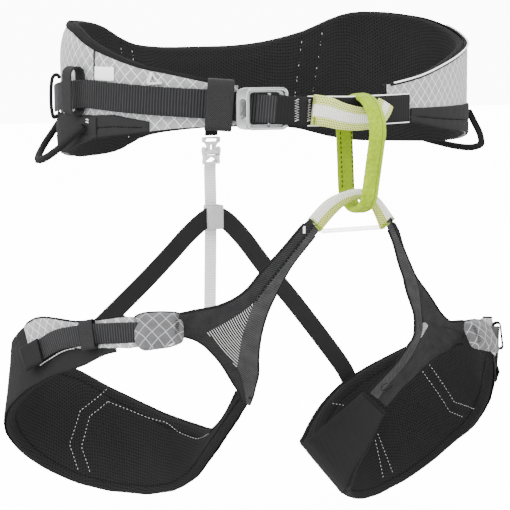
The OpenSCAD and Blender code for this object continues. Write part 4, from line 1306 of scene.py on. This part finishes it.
def leg_strap(side):
    name = SIDE_NAME[side]
    body = f"{name}_leg"
    ts = np.arange(1, 86.1, 1.5)
    mid = soft(ts, LEG_WEB_MID)
    route = leg(side, ts, mid, 4.2)
    out = unit(leg(side, ts, mid, 5.2) - leg(side, ts, mid, 4.2))
    w = ribbon(f"{name}_leg_strap", route, out, 15, 1.6, LEG_WEBBING, body)
    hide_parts(f"{name}_leg_webbing")
    m = at_leg(side, 44, float(soft(44, LEG_WEB_MID)), 4.3)
    k = sleeve(f"{name}_leg_keeper_band", m, 10.2, 2.7, 2, 11, 1.1, ELASTIC, f"{name}_leg_keeper_body", n=6)
    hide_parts(f"{name}_leg_keeper")
    ts = np.linspace(78, 91, 9)
    mid = soft(ts, LEG_WEB_MID)
    lift = np.array([5.9, 6.0, 6.2, 6.5, 7.0, 7.6, 8.2, 8.6, 8.0])
    top = leg(side, ts, mid - 0.02, lift + 0.9)
    under = leg(side, ts[::-1], (mid - 0.02)[::-1], 6.2)
    route = smooth(np.vstack([top, under[:7]]), 2)
    fold = ribbon(f"{name}_strap_end", route, unit(leg(side, 84, 0.5, 1) - leg(side, 84, 0.5, 0)), 17.5, 1.5, SMOOTH_WEB, body)
    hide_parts(f"{name}_leg_end_loop")
    m = at_leg(side, 9, float(soft(9, LEG_WEB_MID)), 5.6)
    up = m @ Matrix.Translation((0, 0, 1.1 * MM))
    f = plate(f"{name}_leg_buckle_plate", [rounded(24, 20, 4), rounded(17, 15.6, 1.5)], 2.2, 0.6, up, ALUMINIUM, body)
    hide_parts(f"{name}_leg_buckle_frame")
    bar = [(-1.5, y, 1.1) for y in np.linspace(-7.3, 7.3, 7)]
    b = tube(f"{name}_leg_buckle_bar", [local(m, bar)], 1.2, ALUMINIUM, f"{name}_leg_slider", 10)
    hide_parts(f"{name}_leg_buckle_slider")
    m = at_leg(side, 9, 0.5, 6.4)

    def crumple(x, y):
        return 0.35 * np.sin(0.3 * x + 0.5 * y + side) + 0.25 * np.sin(0.55 * x - 0.35 * y)
    cover = pillow(f"{name}_buckle_pocket", POCKET[side], m, 5.4, 4.6, POCKET_CLOTH, body, 0.006, crumple)
    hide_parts(f"{name}_leg_buckle_cover")

    def on_front(points, lift=0.0):
        rim = even(POCKET[side], 84)
        mid = rim.mean(axis=0)
        out = []
        for x, y in points:
            d = np.array([x, y]) - mid
            k = 0.0
            for r in rim - mid:
                k = max(k, (d @ r) / (r @ r) if np.cross(d, r) ** 2 < 6 * (r @ r) and d @ r > 0 else 0.0)
            out.append((x, y, 5.4 * (1 - min(k, 1) ** 5) - 0.006 * x * x + lift))
        return out
    top = [q for q in even(POCKET[side], 84) if q[1] > (12.6 if side < 0 else 11.6)]
    top = sorted([tuple(q) for q in top])
    rim = [(x, y, -0.006 * x * x) for x, y in top]
    bind = tube(f"{name}_pocket_binding", [local(m, rim)], 0.9, PIPING, body, 8)
    x0 = 12.4 if side < 0 else -14.6
    b = Build()
    tube_into(b, local(m, on_front(zigzag((x0, -5.4, 0), (x0 + 0.4, 12.6, 0), (2.6, 0, 0), 22)[:, :2], 0.35)), 0.26, 5)
    tack = b.done(f"{name}_pocket_bartack", DARK_THREAD, body)


# ---- Front webs ----
WEB_OUTER = {
    -1: [(4.5, -6.3), (7, -2), (15, 11), (24, 27), (30, 39), (34, 50), (39, 59), (46, 67), (55, 74), (66, 79.5), (74, 82.5)],
    1: [(1.8, -6.7), (3.6, -2), (7, 4), (10, 14), (14, 23), (19, 33), (26, 42), (35, 56), (44, 70), (54, 80), (61, 81), (67, 81)],
}
WEB_LOWER = {
    -1: [(74, 100.8), (66, 100.5), (57.5, 101), (50, 103.5), (43, 108), (34, 115), (25, 124), (16.5, 133), (9, 140.5), (4, 148)],
    1: [
        (67, 102.6), (61, 103.4), (56, 106.6), (45, 110.6), (37, 115.4), (30, 123), (21.5, 133.6), (15, 140), (9, 147), (3, 153),
    ],
}
WEB_INNER = {
    -1: [
        (-7, -0.6), (-4.5, 3.7), (1.5, 14), (8, 26), (12, 37), (15, 50.5), (16.5, 63), (16, 77), (13, 92), (7.5, 108), (1.5, 122),
        (-2.3, 139), (-2.5, 150),
    ],
    1: [
        (-3.2, -4.1), (-1.4, 0.6), (1.2, 6.7), (3.4, 13.2), (5.8, 23), (9, 32), (11.2, 41.4), (14.7, 53.5), (17.4, 63), (18.5, 74),
        (18.2, 84), (15, 89), (11.6, 96), (6.4, 106.7), (-1.4, 118), (-8.3, 128), (-12, 134),
    ],
}
WEB_CREST = {
    -1: [(-1.1, -3.4), (1.4, 1), (8, 13), (16, 28), (22, 42), (25.6, 52)],
    1: [(0.8, -6.1), (2.6, -1.4), (5.6, 4.8), (9.4, 14), (14, 25.4), (19.6, 38.5), (22.8, 60.4)],
}
WINDOW = {-1: [(28, 61), (37, 75.5), (51, 92.5), (21, 116), (27.3, 88)], 1: [(25.6, 72.6), (29, 74), (31, 77), (25, 86.6), (26, 80)]}
WEB_ENDS = {-1: ((74, 91.6), (12, 128), (1, 149)), 1: ((67, 92), (14, 112), (-4, 143))}


def along_line(points, n):
    p = smooth(np.array([(a, b, 0) for a, b in points], float), 6)[:, :2]
    s = lengths(p)
    k = np.linspace(0, s[-1], n)
    return np.stack([np.interp(k, s, p[:, 0]), np.interp(k, s, p[:, 1])], axis=1)


def web_part(b, side, left, right, thick, m=9, fold=0.0):
    """Strip of the web between two edges; both lists have the same number of points."""
    rings, v = [], []
    share = np.linspace(0, 1, m)
    for i, (p, q) in enumerate(zip(left, right)):
        uv = p + (q - p) * share[:, None]
        puff = min(1, 0.5 + 0.12 * i) * thick / 2 * np.clip(1 - (2 * share - 1) ** 6, 0.35, 1)
        rise = fold * np.exp(-((share / 0.35) ** 2)) * math.sin(math.pi * min(1, i / (0.6 * len(left)))) ** 2
        sink = 2.4 * np.clip((uv[:, 0] - 54) / 10, 0, 1)
        face = web(side, uv[:, 0], uv[:, 1], puff + rise - sink)
        back = web(side, uv[:, 0], uv[:, 1], -puff - sink)
        rings.append(np.concatenate([face, back[::-1]]))
        w = np.linalg.norm(q - p)
        v.append(np.concatenate([share * w, (share * w)[::-1], [0]]))
    mid = np.array([r[m // 2] for r in rings])
    b.loft(rings, lengths(mid), v)


def front_web(side):
    name = SIDE_NAME[side]
    body = f"{name}_leg"
    n = 34
    crest = WEB_CREST[side]
    peak, slope, far, low, near = WINDOW[side]
    arm, fork, tip = WEB_ENDS[side]
    b = Build()
    web_part(b, side, along_line(WEB_OUTER[side], n), along_line(crest + [peak, slope, far, arm], n), 2.6)
    web_part(b, side, along_line([arm, far, low, fork, tip], n), along_line(WEB_LOWER[side], n), 2.4)
    w = b.done(f"{name}_front_web", KNIT, body, 50)
    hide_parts(f"{name}_leg_gusset")
    b = Build()
    web_part(
        b, side, along_line(crest + [peak, near, low, fork, tip], n), along_line(WEB_INNER[side], n), 2.8, 11,
        0.8 if side < 0 else 2.2,
    )
    inner = b.done(f"{name}_web_inner", INNER_KNIT, body, 50)
    uv = along_line(crest + [peak], 30)
    seam = stitches(f"{name}_web_seam", [web(side, uv[:, 0], uv[:, 1], 1.5)], DARK_THREAD, body, 2.4, 0.5, 0.35)
    # window: dark backing, then pale threads parallel to its lower edge on both faces
    rows = 24 if side < 0 else 7
    upper, lower = along_line([peak, slope, far], rows), along_line([peak, near, low], rows)
    rings, v = [], []
    for p, q in zip(upper, lower):
        share = np.linspace(-0.04, 1.04, 9)
        uv = p + (q - p) * share[:, None]
        rings.append(np.concatenate([web(side, uv[:, 0], uv[:, 1], 0.35), web(side, uv[:, 0], uv[:, 1], -0.35)[::-1]]))
        wide = np.linalg.norm(q - p)
        v.append(np.concatenate([share * wide, (share * wide)[::-1], [0]]))
    back = Build()
    back.loft(rings[1:], lengths(np.array([r[4] for r in rings[1:]])), v[1:])
    back = back.done(f"{name}_web_window", NET_BACK, body)
    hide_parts(f"{name}_leg_mesh")
    routes = []
    for face in (0.6, -0.6):
        for p, q in zip(upper[1:], lower[1:]):
            k = np.linspace(0, 1, 10)
            line = p + (q - p) * k[:, None]
            sag = 1.1 * np.sin(np.pi * k) * np.linalg.norm(q - p) / 38
            routes.append(web(side, line[:, 0] + 0.6 * sag, line[:, 1] + 0.8 * sag, face))
    net = tube(f"{name}_web_net", routes, 0.31, NET, body, 5)
    # binding along the web's free edges
    trims = []
    for edge in (WEB_OUTER[side], WEB_INNER[side], WEB_LOWER[side]):
        uv = along_line(edge, 44)
        trims.append(web(side, uv[:, 0], uv[:, 1], -2.4 * np.clip((uv[:, 0] - 54) / 10, 0, 1))[2 if edge is not WEB_LOWER[side] else 0:])
    trim = tube(f"{name}_web_edges", trims, 1.0, RIM_BLACK, body, 8)
    if side < 0:
        tag = [web(side, np.array([a]), np.array([c]), np.array([1.7]))[0] for a, c in ((7.4, -0.6), (6.2, 4.2))]
        flag = ribbon("left_web_tag", np.linspace(tag[0], tag[1], 4), (0, -1, 0), 1.8, 0.5, LABEL, body)
    else:
        turn = np.linspace(0.3, 5.2, 26)
        swirl = web(side, 1 + (5.5 - 0.4 * turn) * np.cos(turn), 131 + (5.5 - 0.4 * turn) * np.sin(turn), np.full(26, 1.6))
        loop = stitches("right_web_swirl", [swirl], DARK_THREAD, body, 1.4, 1.0, 0.3)


waist_pad()
liner_seams()
waist_cover()
lower_panel()
belt_trim()
label_and_ribbon()
front_webbing()
keepers()
waist_buckle()
tie_in()
belay()
bridge()
drop_seat()
for SIDE in (-1, 1):
    gear_side(SIDE)
    riser(SIDE)
    leg_pad(SIDE)
    leg_liner_stitches(SIDE)
    leg_cover(SIDE)
    leg_strap(SIDE)
    front_web(SIDE)


# ---- Floor, light and camera ----
def stage():
    floor = bpy.data.meshes.new("floor")
    z = cad_box[0][2] - 0.004
    half = 4.0
    floor.from_pydata([(-half, -half, z), (half, -half, z), (half, half, z), (-half, half, z)], [], [(0, 1, 2, 3)])
    s = Shader("floor_pale", 0.9)
    s.color((0.9, 0.9, 0.9, 1))
    s.bsdf.inputs["Emission Color"].default_value = (1, 1, 1, 1)
    s.bsdf.inputs["Emission Strength"].default_value = 13
    floor.materials.append(s.mat)
    obj = bpy.data.objects.new("floor", floor)
    bpy.context.scene.collection.objects.link(obj)
    obj.visible_diffuse = False
    obj.visible_glossy = False


def lights():
    world = bpy.data.worlds.new("studio")
    bpy.context.scene.world = world
    world.use_nodes = True
    nodes, links = world.node_tree.nodes, world.node_tree.links
    back = nodes["Background"]
    back.inputs[0].default_value = (1, 1, 1, 1)
    back.inputs[1].default_value = 1.6
    bright = nodes.new("ShaderNodeBackground")
    bright.inputs[1].default_value = 14
    seen = nodes.new("ShaderNodeLightPath")
    mix = nodes.new("ShaderNodeMixShader")
    links.new(seen.outputs["Is Camera Ray"], mix.inputs[0])
    links.new(back.outputs[0], mix.inputs[1])
    links.new(bright.outputs[0], mix.inputs[2])
    links.new(mix.outputs[0], nodes["World Output"].inputs["Surface"])
    target = Vector((0, 0, -0.14))
    for name, where, size, power in (
        ("key", (-0.9, -1.1, 1.3), 1.2, 30),
        ("left", (-1.5, 0.1, 0.3), 1.2, 26),
        ("right", (1.3, -0.9, 0.5), 1.3, 26),
        ("low", (-0.5, -1.3, -0.8), 1.3, 18),
        ("back", (0.3, 1.4, 1.0), 1.4, 20),
    ):
        lamp = bpy.data.lights.new(name, "AREA")
        lamp.size = size
        lamp.energy = power
        obj = bpy.data.objects.new(name, lamp)
        obj.location = where
        obj.rotation_euler = (target - Vector(where)).to_track_quat("-Z", "Y").to_euler()
        bpy.context.scene.collection.objects.link(obj)


def camera():
    azimuth, elevation, far = math.radians(-28), math.radians(8), 1.6
    target = Vector((-0.011, 0, -0.116))
    away = Vector((math.sin(azimuth) * math.cos(elevation), -math.cos(azimuth) * math.cos(elevation), math.sin(elevation)))
    lens = bpy.data.cameras.new("photo_view")
    lens.sensor_width = 36
    lens.lens = 150.6
    obj = bpy.data.objects.new("photo_view", lens)
    obj.location = target + away * far
    obj.rotation_euler = (-away).to_track_quat("-Z", "Y").to_euler()
    bpy.context.scene.collection.objects.link(obj)
    bpy.context.scene.camera = obj


stage()
lights()
camera()
